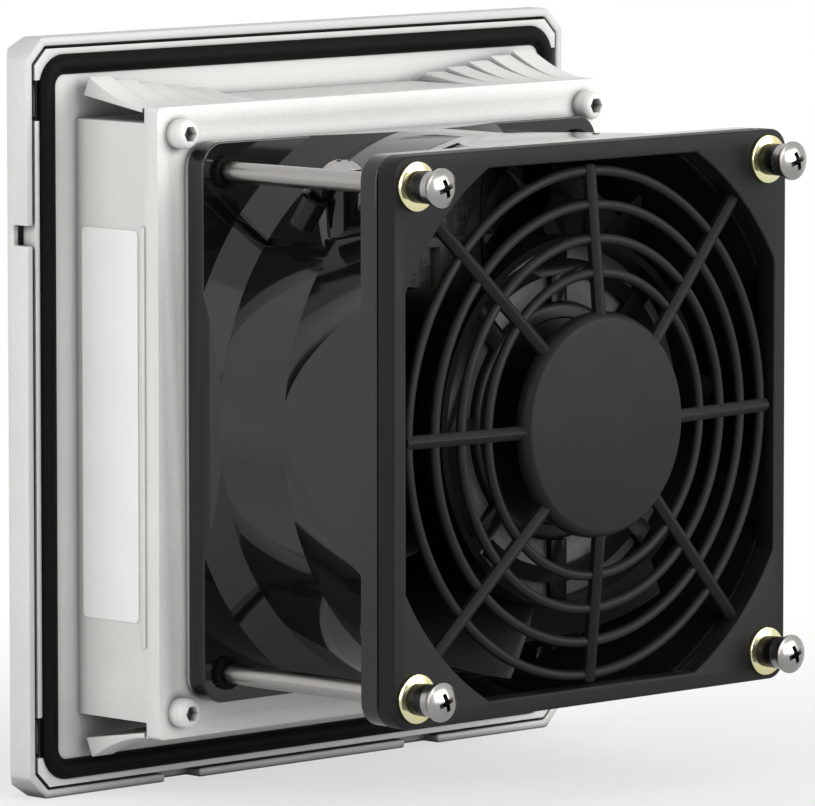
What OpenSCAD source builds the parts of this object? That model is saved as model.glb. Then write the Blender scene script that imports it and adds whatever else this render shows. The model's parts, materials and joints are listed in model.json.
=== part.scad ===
// Filter fan for an enclosure wall: louvred cover, filter mat, sealed base housing and axial fan.
// X runs to the label side, Y runs back into the enclosure, Z is up. Millimetres.
// The origin is the centre of the mounting plane, where the flange meets the enclosure wall.

/* [Cover] */
// Reach of the front cover beyond the housing's sides
cover_reach = 9.5; // [9:0.05:13]
// Depth of the cover in front of the mounting plane
cover_d = 8; // [7:0.5:11]
// Depth of the straight part of the cover's rim
cover_rim_d = 4.1; // [3:0.1:6]
// Wall thickness of the cover's rim
cover_wall = 1.25; // [1:0.05:2]
// Thickness of the cover's front face
cover_face_t = 1.6; // [1.2:0.1:2.4]
// Length of the cut across each corner of the cover, along one side
cover_corner = 3.2; // [2:0.1:5]
// Width of the plain border round the louvre
cover_border = 9; // [7:0.5:14]
// Number of louvre slats
slat_count = 11; // [6:1:13]
// Thickness of a louvre slat
slat_t = 1.5; // [1:0.1:2]
// Drop of each slat from its inner edge to its outer edge
slat_drop = 3; // [1:0.25:4]
// Width of the ribs behind the slats
louvre_rib_w = 1.6; // [1:0.1:3]
// Width of the prising notch in the side of the rim
side_notch_w = 2.9; // [2:0.1:5]
// Depth of the prising notches
notch_d = 3; // [1:0.1:3.5]
// Height of the side notch above the centre
side_notch_z = 26.4; // [10:0.1:34]
// Width of the prising notches in the lower rim
lower_notch_w = 7; // [4:0.5:9]
// Distance of the lower notches from the centre
lower_notch_x = 24.5; // [12:0.5:32]
// Thickness of the cover's catch tabs
catch_t = 0.6; // [0.4:0.05:0.8]
// Length of the catch tabs along the rim
catch_len = 5; // [3:0.5:8]
// Distance of the catch tabs' middles from the flange's corners
catch_inset = 7.25; // [6.5:0.05:12]
// Distance of the catch tabs' ends below the mounting plane
catch_recess = 0.6; // [0.2:0.1:1]
// Running gap between a catch tab and its notch
catch_gap = 0.2; // [0.1:0.05:0.4]

/* [Base housing] */
// Gap between the flange and the cover's rim
flange_gap = 0.4; // [0.2:0.05:0.8]
// Thickness of the mounting flange
flange_t = 2.5; // [2:0.1:3.5]
// Width of the housing's rear border beside the fan
fan_border = 5; // [4.8:0.1:7]
// Depth of the housing box behind the mounting plane
housing_d = 17; // [15:0.5:24]
// Wall thickness of the housing box
housing_wall = 2; // [1.5:0.1:2.5]
// Thickness of the housing's rear wall
rear_wall_t = 2.5; // [2:0.1:3.5]
// Rounding of the housing's long edges
housing_edge_r = 0.8; // [0.4:0.1:1.4]
// Height of the raised seat under the fan
seat_rise = 0.8; // [0.4:0.1:1.5]
// Step from the edge of the fan to the edge of its seat
seat_inset = 0.4; // [0.2:0.1:1]
// Number of bars each way in the filter support grille
grille_bars = 7; // [4:1:8]
// Width of a grille bar
grille_bar_w = 1.4; // [1:0.1:2]
// Width of the grille's rim
grille_rim_w = 1.2; // [0.8:0.1:2]
// Depth of a grille bar
grille_bar_d = 2; // [1.5:0.1:3]
// Outer radius of the bosses for the long screws
screw_boss_r = 3.4; // [2.6:0.1:4]
// Length of the bosses for the long screws, measured from the rear wall
screw_boss_len = 5.5; // [4:0.1:6]
// Length of the raised rib beside the label
side_rib_len = 60; // [30:1:70]
// Height of the rib's upper end above the centre
side_rib_top = 28; // [20:0.5:30]
// Width of the raised rib beside the label
side_rib_w = 0.8; // [0.5:0.1:1.5]
// Height of the raised rib beside the label
side_rib_h = 0.3; // [0.2:0.1:0.6]
// Depth of the raised rib behind the mounting plane
side_rib_y = 13.6; // [13.3:0.1:15]

/* [Filter mat] */
// Thickness of the filter mat
mat_t = 8; // [5:0.5:9]
// Gap round the filter mat
mat_gap = 0.3; // [0.1:0.1:1]
// Distance of the mat's front face behind the flange's front face
mat_inset = 0.1; // [0:0.1:0.5]

/* [Seal] */
// Width of the sealing bead
bead_w = 2.7; // [2:0.1:3]
// Height of the sealing bead above the flange
bead_rise = 1; // [0.6:0.1:1.6]
// Depth of the sealing bead in its groove
bead_seat = 0.8; // [0.5:0.1:1.2]
// Distance from the flange's edge to the sealing bead
bead_edge = 0.95; // [0.9:0.05:1.3]
// Outer corner radius of the sealing bead
bead_corner_r = 4.5; // [3.5:0.25:6]

/* [Corner clamps] */
// Number of strips in a clamp
strip_count = 5; // [3:1:6]
// Width of one clamp strip
strip_w = 4.6; // [3:0.1:5]
// Width of the groove between two strips
strip_gap = 0.3; // [0.2:0.05:0.6]
// Depth of the groove between two strips
strip_groove = 0.35; // [0.2:0.05:0.5]
// Length of the bevel at the free end of a strip
strip_bevel = 1.2; // [0.6:0.1:2]
// Height of the highest strip above the housing's wall
strip_rise = 3.8; // [3:0.1:4.2]
// Height lost from one strip to the next
strip_step = 0.63; // [0.2:0.01:0.65]
// Depth of the clamp's free end behind the mounting plane
clamp_tip_y = 1.6; // [1.4:0.1:3]
// Depth of the clamp's root behind the mounting plane
clamp_root_y = 14.3; // [12:0.1:14.4]
// Thickness of the clamp at its thin root
clamp_root_t = 0.8; // [0.6:0.05:1.2]
// Thickness of the clamp at its free end
clamp_tip_t = 2.7; // [2:0.1:2.9]
// Gap between a clamp and the housing
clamp_gap = 0.12; // [0.08:0.01:0.2]
// Depth of the pocket under a clamp, from the housing's wall
pocket_depth = 2.3; // [2.1:0.1:2.4]
// Thickness of the pocket's floor
pocket_floor_t = 1.2; // [0.8:0.1:1.6]

/* [Housing corner screws] */
// Distance of the corner screws from the housing's corner, along one side
corner_screw_inset = 3.75; // [3.5:0.05:4]
// Head diameter of the corner screws
corner_head_d = 4.2; // [3.6:0.1:4.6]
// Head height of the corner screws
corner_head_h = 2.9; // [2:0.1:3.5]
// Rounding of the corner screw's head
corner_head_r = 1.1; // [0.5:0.1:1.2]
// Width across flats of the corner screw's socket
corner_socket_w = 2; // [1.5:0.1:2.5]
// Depth of the corner screw's socket
corner_socket_d = 1.8; // [1:0.1:2]
// Shank diameter of the corner screws
corner_shank_d = 2.5; // [2:0.1:2.8]
// Shank length of the corner screws
corner_shank_len = 7; // [5:0.1:8]

/* [Fan frame] */
// Width and height of the fan
fan_w = 80; // [80:0.5:82]
// Depth of the fan
fan_d = 38; // [36:0.5:46]
// Distance of the fan's screw holes from its sides
fan_hole_inset = 4.25; // [3.9:0.05:4.5]
// Thickness of the fan's flanges
fan_flange_t = 3.2; // [2.5:0.1:4]
// Corner radius of the fan's flanges
fan_corner_r = 3.7; // [2:0.1:4.5]
// Diameter of the fan's screw holes
fan_hole_d = 4.3; // [3.6:0.1:4.5]
// Distance of the fan's throat from its sides
throat_inset = 1.8; // [1.7:0.05:2.2]
// Reach of the fan's mouth beyond its sides, in the corners
mouth_reach = 2.4; // [1:0.1:3]
// Wall thickness of the fan's barrel
barrel_t = 2.04; // [1.8:0.02:2.2]
// Thinnest side wall of the fan frame
side_wall_t = 1.6; // [1.3:0.1:1.7]
// Length of the short flare behind the front flange
front_flare_len = 3.6; // [2.5:0.1:5]
// Length of the long flare before the rear flange
rear_flare_len = 15; // [8:0.5:16]
// Reach of the flares beyond the fan's sides, in the corners
flare_reach = 4.1; // [3.5:0.1:4.5]
// Number of struts that carry the motor
strut_count = 4; // [3:1:5]
// Width of a strut
strut_w = 3; // [2:0.1:4]
// Depth of a strut
strut_d = 3; // [2:0.1:3.5]
// Radius of the motor plate
motor_plate_r = 17; // [15:0.1:18]
// Thickness of the motor plate
motor_plate_t = 1.8; // [1.2:0.1:2.4]
// Distance of the motor plate behind the fan's front face
motor_inset = 0.4; // [0.2:0.1:1]
// Height of the raised ribs on the front flare
flare_rib_h = 0.4; // [0.2:0.1:0.6]
// Width of the raised ribs on the front flare
flare_rib_w = 0.6; // [0.4:0.1:1]

/* [Motor] */
// Diameter of the motor shaft
shaft_d = 3; // [2.8:0.1:3.4]
// Outer diameter of the ball bearings
bearing_d = 8; // [7.6:0.1:8.4]
// Width of a ball bearing
bearing_w = 4; // [3:0.1:4.5]
// Number of balls in a bearing
ball_count = 7; // [6:1:7]
// Diameter of a bearing ball
ball_d = 1.56; // [1.2:0.02:1.7]
// Wall thickness of the bearing tube
tube_wall = 1; // [0.8:0.1:1.2]
// Length of the bearing tube
tube_len = 26; // [25:0.5:27]
// Outer radius of the stator core
stator_r = 12.5; // [12:0.1:12.7]
// Length of the stator core
stator_len = 12; // [9:0.5:13]
// Width of a stator tooth
tooth_w = 4; // [3:0.1:4.4]
// Width of a coil beside its tooth
coil_w = 2.5; // [2:0.1:2.6]
// Height of a coil end beyond its insulator
coil_end = 2; // [1.2:0.1:2.2]
// Thickness of the stator's end insulators
insulator_t = 0.9; // [0.6:0.1:1.2]
// Air gap between stator and rotor
air_gap = 0.4; // [0.3:0.05:0.5]
// Thickness of the rotor's lamination ring
rotor_ring_t = 1.8; // [1.5:0.1:1.9]
// Wall thickness of the rotor cup
cup_t = 0.95; // [0.8:0.05:1.1]

/* [Impeller] */
// Number of blades
blade_count = 7; // [5:1:9]
// Thickness of a blade
blade_t = 1.5; // [1.2:0.1:2]
// Depth of a blade along the shaft
blade_d = 23; // [18:0.5:24]
// Twist of a blade over its depth, in degrees
blade_twist = 44; // [30:1:50]
// Sweep of a blade from root to tip, in degrees
blade_sweep = 14; // [0:1:20]
// Clearance between blade tips and the throat
tip_gap = 0.9; // [0.6:0.1:1.4]
// Wall thickness of the impeller's hub
hub_wall = 1.4; // [1.2:0.1:1.8]
// Length of the impeller's hub
hub_len = 29; // [27.5:0.5:29.5]
// Radius of the balance plate behind the blades
plate_r = 25.4; // [22:0.1:28]
// Thickness of the balance plate
plate_t = 1; // [0.8:0.1:1.2]
// Width of the straight ribs that clamp the balance plate
spider_w = 3.1; // [1.5:0.1:3.6]
// Width of the round rib on the balance plate
spider_ring_w = 2.3; // [1.5:0.1:3]
// Height of the wall round the balance plate
spider_wall_h = 3.8; // [1.5:0.1:4]
// Radius of the round rib on the balance plate
spider_r = 22; // [19.5:0.1:22.5]

/* [Guard] */
// Depth of the guard's frame
guard_t = 3.4; // [3:0.1:4.5]
// Corner radius of the guard's frame
guard_corner_r = 3; // [2:0.1:4.5]
// Width of the guard's frame along its sides
guard_side = 2.5; // [2:0.1:3.5]
// Reach of the guard's opening beyond the fan's sides, in the corners
guard_cut_reach = 3; // [1:0.1:3.5]
// Clearance between the outermost ring and the guard's frame
ring_gap = 0.85; // [0.45:0.05:3]
// Radius of the innermost ring
ring_inner_r = 21.5; // [19:0.1:24]
// Number of rings
ring_count = 4; // [3:1:5]
// Thickness of a ring
ring_t = 1.5; // [1.2:0.1:1.8]
// Thickness of a spoke
spoke_t = 2; // [1.6:0.1:2.4]
// Length of a straight spoke beyond the outermost ring
spoke_over = 0.3; // [0.1:0.1:0.6]
// Rise of the spokes from the frame to the centre disc
guard_rise = 2.1; // [1:0.1:3]
// Radius of the guard's centre disc
disc_r = 16.1; // [12:0.1:17.5]
// Thickness of the guard's centre disc
disc_t = 2.6; // [2:0.1:3.5]
// Diameter of the guard's screw holes
guard_hole_d = 3.6; // [3.2:0.1:4.2]

/* [Long screws] */
// Shank diameter of the long screws
screw_d = 3; // [2.6:0.1:3.2]
// Depth of the long screw's thread in its boss
screw_grip = 7; // [5:0.1:7.5]
// Head diameter of the long screws
screw_head_d = 5.6; // [5:0.1:6.5]
// Head height of the long screws
screw_head_h = 1.6; // [1.4:0.1:2.5]
// Depth of the cross recess
recess_d = 1.2; // [0.8:0.1:1.4]
// Width of the cross recess
recess_w = 2.7; // [2:0.1:3]
// Diameter of the plain washers on the guard
washer_d = 7; // [6.5:0.1:8]
// Thickness of the plain washers on the guard
washer_t = 0.6; // [0.4:0.1:0.9]
// Diameter of the spacer sleeves
sleeve_d = 4.6; // [4.2:0.1:5]
// Length of the spacer sleeves
sleeve_len = 2.5; // [1:0.1:3]
// Diameter of the spring washers under the heads
spring_washer_d = 4.7; // [4.4:0.1:5.5]
// Thickness of the spring washers
spring_washer_t = 1.6; // [0.8:0.1:2]
// Diameter of the retaining rings on the front flange
keeper_d = 4.8; // [4.6:0.1:5.4]
// Thickness of the retaining rings
keeper_t = 0.8; // [0.5:0.1:1.2]
// Clearance between a screw and what it passes through
screw_clear = 0.05; // [0.03:0.01:0.1]

/* [Terminals] */
// Size of the terminal block across the frame's corner
block_w = 11; // [9:0.5:12]
// Height of the terminal block above the fan's barrel
block_h = 5.4; // [4.5:0.1:6]
// Length of the terminal block along the fan
block_len = 10; // [8.5:0.1:12]
// Width of a spade terminal
spade_w = 2.8; // [2.4:0.1:3.2]
// Thickness of a spade terminal
spade_t = 0.5; // [0.4:0.1:0.8]
// Length of a spade terminal outside its block
spade_len = 5; // [3.5:0.1:5.5]
// Distance of the earth screw from the fan's side
earth_side = 12; // [11.5:0.1:13]
// Depth of the earth boss's top below the fan's top
earth_drop = 4.5; // [4:0.1:6]
// Height of the earth boss
earth_boss_h = 8.5; // [8:0.1:9]
// Depth of the earth screw's thread in its boss
earth_grip = 5; // [4:0.1:6]
// Head diameter of the earth screw
earth_head_d = 5.6; // [5:0.1:6]
// Head height of the earth screw
earth_head_h = 1.75; // [1.4:0.05:2]
// Thickness of the earth lug's sheet
lug_t = 0.7; // [0.5:0.05:1]
// Outer diameter of the earth lug's crimp barrel
barrel_lug_d = 4; // [3:0.1:4.2]
// Length of the earth lug's crimp barrel
barrel_lug_len = 5.2; // [4:0.1:5.5]
// Tilt of the crimp barrel from the vertical, in degrees
barrel_lug_tilt = 37; // [20:1:45]
// Radius of the earth boss at its top
earth_boss_r = 2.5; // [2.2:0.05:2.6]

/* [Rating label] */
// Width of the label
label_w = 11.6; // [8:0.1:11.8]
// Length of the label
label_len = 56; // [40:0.5:70]
// Thickness of the label
label_t = 0.15; // [0.1:0.05:0.3]
// Height of the label's middle above the centre
label_z = -0.6; // [-4:0.1:4]
// Depth of the label's front edge behind the mounting plane
label_y = 1.3; // [1:0.1:1.5]

/* [Hidden] */
$fn = 64;
EPS = 0.01;

light_grey = [0.80, 0.81, 0.79];
fan_black = [0.12, 0.12, 0.13];
steel = [0.72, 0.72, 0.72];
zinc_yellow = [0.85, 0.80, 0.52];

// Main widths, from the fan outwards
fan_half = fan_w / 2;
fan_pitch = fan_w - 2 * fan_hole_inset;
throat_r = fan_half - throat_inset;
mouth_r = fan_half + mouth_reach;
flare_r = fan_half + flare_reach;
housing_w = fan_w + 2 * fan_border;
cover_w = housing_w + 2 * cover_reach;

// Cover and flange
cover_half = cover_w / 2;
flange_half = cover_half - cover_wall - flange_gap;
catch_z = flange_half - catch_inset;
corner_share = 2 - sqrt(2);
cover_in_half = cover_half - cover_wall;
cover_in_corner = cover_corner - cover_wall * corner_share;
flange_corner = cover_in_corner - flange_gap * corner_share;
louvre_half = cover_half - (cover_d - cover_rim_d) - cover_border + cover_wall;
slat_pitch = 2 * louvre_half / slat_count;
slat_clear = 1.2;
slat_back = cover_d - flange_t - slat_clear;

// Housing
housing_half = housing_w / 2;
cavity_half = housing_half - housing_wall;
rear_in_y = housing_d - rear_wall_t;
pocket_z = housing_half - pocket_depth;
pocket_w = strip_count * strip_w + 2 * clamp_gap;
shelf_z = pocket_z - pocket_floor_t;
shelf_len = pocket_w + housing_wall;
mat_front = mat_inset - flange_t;
mat_back = mat_front + mat_t;
mat_half_z = shelf_z - mat_gap;
mat_half_x = cavity_half - mat_gap;
grille_y = mat_back;
seat_y = housing_d + seat_rise;
corner_screw_at = housing_half - corner_screw_inset;
post_wall = 1.4;
post_floor = 1.2;
drill_depth = 0.3;
corner_post_r = corner_shank_d / 2 + post_wall;
bead_gap = 0.1;
bead_mid = flange_half - bead_edge - bead_w / 2;

// Clamps
clamp_hinge_r = clamp_root_t / 2;
clamp_hinge_y = clamp_root_y - clamp_gap - clamp_hinge_r;
clamp_hinge_z = housing_half - clamp_hinge_r;

// Fan
fan_y0 = seat_y;
fan_y1 = fan_y0 + fan_d;
hole_at = fan_pitch / 2;
barrel_r = throat_r + barrel_t;
throat_y0 = fan_y0 + fan_flange_t + front_flare_len;
throat_y1 = fan_y1 - fan_flange_t - rear_flare_len;
front_flange_y = fan_y0 + fan_flange_t;
rear_flange_y = fan_y1 - fan_flange_t;
mouth_half = fan_half - side_wall_t;
flare_rib_y1 = throat_y0 + 0.6;
flare_rib_tilts = [38.7, 41.1];

// Motor, from the plate at the front to the closed hub at the rear
plate_y = fan_y0 + motor_inset;
tube_y = plate_y + motor_plate_t;
tube_end = tube_y + tube_len;
tube_r = bearing_d / 2 + tube_wall;
race_gap = 0.05;
bearing_clear = 0.02;
bearing_mid_r = (shaft_d + bearing_d) / 4;
race_split = 0.5;
inner_race_r = bearing_mid_r - race_split;
outer_race_r = bearing_mid_r + race_split;
tube_lip_r = outer_race_r + 0.15;
rear_bearing_inset = 0.5;
front_bearing_inset = 3.4;
rear_bearing_y = tube_end - bearing_w - rear_bearing_inset;
front_bearing_y = tube_y + front_bearing_inset;
circlip_t = 0.5;
circlip_bite = 0.28;
circlip_mouth = 1;
circlip_y = front_bearing_y - circlip_t;
shaft_end = 1.2;
shaft_y0 = circlip_y - shaft_end;
hub_inset = 3.2;
hub_y1 = fan_y1 - hub_inset;
hub_y0 = hub_y1 - hub_len;
hub_face_t = 1.2;
hub_chamfer = 1;
cup_inset = 0.7;
cup_y1 = hub_y1 - hub_face_t;
cup_y0 = hub_y0 + cup_inset;
ring_out_r = stator_r + air_gap + rotor_ring_t;
cup_in_r = ring_out_r + bearing_clear;
cup_r = cup_in_r + cup_t;
hub_in_r = cup_r + bearing_clear;
hub_r = hub_in_r + hub_wall;
bush_r = 4;
bush_spigot_r = 2.2;
bush_y0 = rear_bearing_y + bearing_w;
shaft_y1 = cup_y1 - 0.1;
stator_mid = (front_bearing_y + rear_bearing_y + bearing_w) / 2;
stator_y0 = stator_mid - stator_len / 2;
stator_y1 = stator_mid + stator_len / 2;
yoke_t = 1.8;
pole_t = 1.9;
pole_slot_w = 1.6;
coil_in_r = tube_r + yoke_t;
coil_out_r = stator_r - pole_t;
coil_gap = 0.1;

// Blades
blade_r = throat_r - tip_gap;
blade_inset = 1.5;
blade_y0 = hub_y0 + blade_inset;
plate_inset = 1.3;
spider_t = 1;
spider_wall_t = 1.1;
spider_count = 8;
plate_y1 = hub_y1 - plate_inset;

// Guard
guard_y0 = fan_y1;
guard_y1 = guard_y0 + guard_t;
guard_open = fan_half - guard_side;
guard_cut_r = fan_half + guard_cut_reach;
ring_outer_r = guard_open - ring_gap - ring_t / 2;
spoke_inset = 0.1;
disc_proud = 0.6;
disc_bevel = 0.8;
spoke_y_edge = guard_y1 - spoke_t / 2 - spoke_inset;
spoke_y_disc = spoke_y_edge + guard_rise;
disc_y1 = spoke_y_disc + spoke_t / 2 + disc_proud;
disc_y0 = disc_y1 - disc_t;

// Stack under each long screw's head
washer_y1 = guard_y1 + washer_t;
sleeve_y1 = washer_y1 + sleeve_len;
head_y0 = sleeve_y1 + spring_washer_t;
head_y1 = head_y0 + screw_head_h;
screw_y0 = housing_d - screw_grip;
screw_hole_r = screw_d / 2 + screw_clear;
screw_end_gap = 0.5;
cross_w = 0.7;
cross_turn = 20;
split_w = 0.4;

// Terminal corner
earth_x = fan_half - earth_side;
earth_y = (fan_y0 + fan_y1) / 2;
earth_z = fan_half - earth_drop;
part_gap = 0.1;
lug_setback = 0.4;
lug_drop = 2.7;
lug_bite = 0.2;
tongue_w = 2.2;
tongue_start = 1.2;
lug_x = earth_x + earth_boss_r + 1.5 * part_gap + barrel_lug_d / 2;
block_y0 = front_flange_y + part_gap;
block_r = barrel_r + part_gap;
block_core = 4;
block_low = block_w * 0.6;
spade_at_r = barrel_r + block_h * 0.55;
spade_from = block_w * 0.1;
spade_top = block_w - block_low + spade_len;

// Extrudes a shape drawn in X and Z from one depth to another
module slab(y0, y1) {
    translate([0, y1, 0])
        rotate([90, 0, 0])
            linear_extrude(y1 - y0)
                children();
}

// Turns a shape drawn in radius and depth about the fan's axis
module turned() {
    rotate([-90, 0, 0])
        rotate_extrude()
            children();
}

// Round bar along Y between two depths
module bar_y(r, y0, y1) {
    translate([0, y0, 0])
        rotate([-90, 0, 0])
            cylinder(r = r, h = y1 - y0);
}

// Round tube along Y between two depths
module pipe_y(r_out, r_in, y0, y1) {
    difference() {
        bar_y(r_out, y0, y1);
        bar_y(r_in, y0 - EPS, y1 + EPS);
    }
}

// Square with round corners
module soft_square(w, r) {
    square([w - 2 * r, w], center = true);
    square([w, w - 2 * r], center = true);
    for (sx = [-1, 1], sy = [-1, 1])
        translate([sx * (w / 2 - r), sy * (w / 2 - r)])
            circle(r = r);
}

// Square with cut corners
module cut_square(half, cut) {
    polygon([
        [half, half - cut], [half - cut, half], [cut - half, half], [-half, half - cut],
        [-half, cut - half], [cut - half, -half], [half - cut, -half], [half, cut - half]
    ]);
}

// Square opening with its corners cut by a circle
module round_cut_square(half, r) {
    intersection() {
        square(2 * half, center = true);
        circle(r = r, $fn = 128);
    }
}

// Places its children at the four corners of a square
module at_corners(offset_xz) {
    for (sx = [-1, 1], sz = [-1, 1])
        translate([sx * offset_xz, 0, sz * offset_xz])
            children();
}

// Turns its children from the X axis to the top corner away from the label
module on_corner_line() {
    rotate([0, -135, 0])
        children();
}

// Cover with a straight rim, a bevelled front edge and a louvre
module cover_shell() {
    bevel = cover_d - cover_rim_d;
    intersection() {
        slab(-cover_d, 0)
            cut_square(cover_half, cover_corner);
        cover_bevel(0, bevel);
        cover_bevel(90, bevel);
    }
}

// Block that limits the cover's bevel on two opposite sides
module cover_bevel(turn, bevel) {
    rotate([0, turn, 0])
        translate([0, 0, -cover_w])
            linear_extrude(2 * cover_w)
                polygon([
                    [-cover_half, 1], [cover_half, 1], [cover_half, -cover_rim_d],
                    [cover_half - bevel, -cover_d], [bevel - cover_half, -cover_d],
                    [-cover_half, -cover_rim_d]
                ]);
}

// Sloping slat of the louvre, its outer edge lower than its inner edge
module louvre_slat(z) {
    translate([-louvre_half - EPS, 0, z])
        rotate([90, 0, 90])
            linear_extrude(2 * louvre_half + 2 * EPS)
                polygon([
                    [-cover_d, -slat_drop], [-cover_d + slat_back, 0],
                    [-cover_d + slat_back, slat_t], [-cover_d, slat_t - slat_drop]
                ]);
}

module design_cover() color(light_grey) {
    difference() {
        cover_shell();
        slab(-cover_rim_d, 1)
            cut_square(cover_in_half, cover_in_corner);
        slab(-cover_d + cover_face_t, -cover_rim_d + EPS)
            square(2 * (louvre_half + cover_border - cover_face_t), center = true);
        slab(-cover_d - 1, 0)
            square(2 * louvre_half, center = true);
        translate([cover_in_half, -notch_d, side_notch_z - side_notch_w / 2])
            cube([2 * cover_wall, notch_d + 1, side_notch_w]);
        for (sx = [-1, 1])
            translate([sx * lower_notch_x - lower_notch_w / 2, -notch_d, -cover_half - cover_wall])
                cube([lower_notch_w, notch_d + 1, 2 * cover_wall]);
    }
    for (sx = [-1, 1], sz = [-1, 1])
        translate([sx * (flange_half - catch_gap - catch_t / 2) - catch_t / 2, -cover_rim_d - EPS,
                sz * catch_z - catch_len / 2])
            cube([catch_t, cover_rim_d - catch_recess, catch_len]);
}

// Slats and ribs that fill the cover's opening
module cover_louvre() color(light_grey) {
    intersection() {
        slab(-cover_d, 0)
            square(2 * louvre_half, center = true);
        union() {
            for (i = [0 : slat_count])
                louvre_slat(-louvre_half + i * slat_pitch);
            for (i = [-1, 0, 1])
                translate([i * louvre_half / 2 - louvre_rib_w / 2, -cover_d + slat_back / 2, -louvre_half])
                    cube([louvre_rib_w, slat_back / 2, 2 * louvre_half]);
        }
    }
}

module filter_mat() color([0.86, 0.86, 0.84]) {
    translate([-mat_half_x, mat_front, -mat_half_z])
        cube([2 * mat_half_x, mat_t, 2 * mat_half_z]);
}

// Groove and pocket shapes of the base housing
module gasket_groove() {
    groove = bead_w + 2 * bead_gap;
    slab(-bead_seat, 1)
        difference() {
            soft_square(2 * bead_mid + groove, bead_corner_r + bead_gap);
            soft_square(2 * bead_mid - groove, bead_corner_r - bead_w - bead_gap);
        }
}

module catch_notches() {
    for (sx = [-1, 1], sz = [-1, 1])
        translate([sx * flange_half - catch_t - 2 * catch_gap, -flange_t - 1,
                sz * catch_z - catch_len / 2 - 2 * catch_gap])
            cube([2 * (catch_t + 2 * catch_gap), flange_t + 2, catch_len + 4 * catch_gap]);
}

module clamp_pockets() {
    for (sx = [-1, 1], sz = [-1, 1])
        scale([sx, 1, sz])
            translate([housing_half - pocket_w, 0, pocket_z])
                cube([pocket_w + 1, clamp_root_y, pocket_depth + 1]);
}

// Shelves that close the pockets towards the inside
module pocket_shelves(y0, y1) {
    for (sx = [-1, 1], sz = [-1, 1])
        scale([sx, 1, sz])
            translate([housing_half - shelf_len, y0, shelf_z])
                cube([shelf_len - EPS, y1 - y0, housing_half - shelf_z - EPS]);
}

// Grid behind the filter mat, with a rim that lies against the housing's walls and pocket shelves
module support_grille() color(light_grey) {
    pitch = 2 * cavity_half / (grille_bars + 1);
    slab(grille_y, grille_y + grille_bar_d) {
        difference() {
            square([2 * cavity_half, 2 * shelf_z], center = true);
            square([2 * (cavity_half - grille_rim_w), 2 * (shelf_z - grille_rim_w)], center = true);
        }
        for (i = [1 : grille_bars]) {
            translate([i * pitch - cavity_half - grille_bar_w / 2, -shelf_z])
                square([grille_bar_w, 2 * shelf_z]);
            translate([-cavity_half, i * pitch - cavity_half - grille_bar_w / 2])
                square([2 * cavity_half, grille_bar_w]);
        }
    }
}

module base_housing() color(light_grey) {
    difference() {
        union() {
            difference() {
                union() {
                    slab(-flange_t, 0)
                        cut_square(flange_half, flange_corner);
                    slab(-EPS, housing_d)
                        soft_square(housing_w, housing_edge_r);
                    slab(housing_d - EPS, seat_y)
                        soft_square(fan_w - 2 * seat_inset, fan_corner_r - seat_inset);
                    translate([housing_half - EPS, side_rib_y, side_rib_top - side_rib_len])
                        cube([side_rib_h, side_rib_w, side_rib_len]);
                }
                slab(-flange_t - 1, rear_in_y)
                    square(2 * cavity_half, center = true);
            }
            pocket_shelves(-flange_t, rear_in_y + EPS);
            at_corners(hole_at)
                bar_y(screw_boss_r, rear_in_y - screw_boss_len, housing_d);
            at_corners(corner_screw_at)
                bar_y(corner_post_r, housing_d - corner_shank_len - drill_depth - post_floor, housing_d);
        }
        clamp_pockets();
        slab(rear_in_y - 1, seat_y + 1)
            round_cut_square(mouth_half, mouth_r);
        at_corners(hole_at)
            bar_y(screw_hole_r, screw_y0 - screw_end_gap, seat_y + 1);
        at_corners(corner_screw_at)
            bar_y(corner_shank_d / 2 + screw_clear,
                housing_d - corner_shank_len - drill_depth, housing_d + 1);
        gasket_groove();
        catch_notches();
    }
}

// Cross section of the sealing bead, drawn across its width and its height
module bead_section() {
    crown = bead_w / 2;
    translate([-bead_w / 2, -bead_seat])
        square([bead_w, bead_seat + bead_rise - crown * 0.5]);
    intersection() {
        translate([0, bead_rise - crown])
            circle(r = crown);
        translate([-bead_w / 2, bead_rise - crown * 0.5])
            square([bead_w, crown]);
    }
}

// Straight sides joined by quarter turns
module flange_gasket() color([0.05, 0.05, 0.05]) {
    path_r = bead_corner_r - bead_w / 2;
    straight = 2 * (bead_mid - path_r);
    for (turn = [0 : 90 : 270])
        rotate([0, turn, 0]) {
            translate([-straight / 2, 0, bead_mid])
                rotate([90, 0, 90])
                    linear_extrude(straight)
                        rotate(-90)
                            bead_section();
            translate([bead_mid - path_r, 0, bead_mid - path_r])
                rotate([-90, 0, 0])
                    rotate([0, 0, -90])
                        rotate_extrude(angle = 90)
                            translate([path_r, 0])
                                bead_section();
        }
}

// Side view of one clamp strip, drawn in depth and height, its top lowered by a groove's depth
module strip_side(rise, lower) {
    run = clamp_hinge_y - clamp_tip_y - strip_bevel;
    curve = [for (i = [0 : 8])
        let (t = i / 8)
        [clamp_hinge_y - t * run, housing_half + (rise - lower) * pow(t, 1.7)]];
    polygon(concat(
        [[clamp_hinge_y, clamp_hinge_z - clamp_hinge_r]],
        curve,
        [[clamp_tip_y, housing_half + rise * (1 - clamp_tip_t / strip_rise)]]
    ));
}

// Clamp at the top corner on the label side
module clamp_body() {
    inner_x = housing_half - strip_count * strip_w;
    for (i = [0 : strip_count - 1])
        translate([housing_half - (i + 1) * strip_w, 0, 0])
            rotate([90, 0, 90]) {
                linear_extrude(strip_gap)
                    strip_side(strip_rise - i * strip_step, strip_groove);
                translate([0, 0, strip_gap])
                    linear_extrude(strip_w - strip_gap)
                        strip_side(strip_rise - i * strip_step, 0);
            }
    translate([inner_x, clamp_hinge_y, clamp_hinge_z])
        rotate([0, 90, 0])
            cylinder(r = clamp_hinge_r, h = strip_count * strip_w);
}

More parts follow.
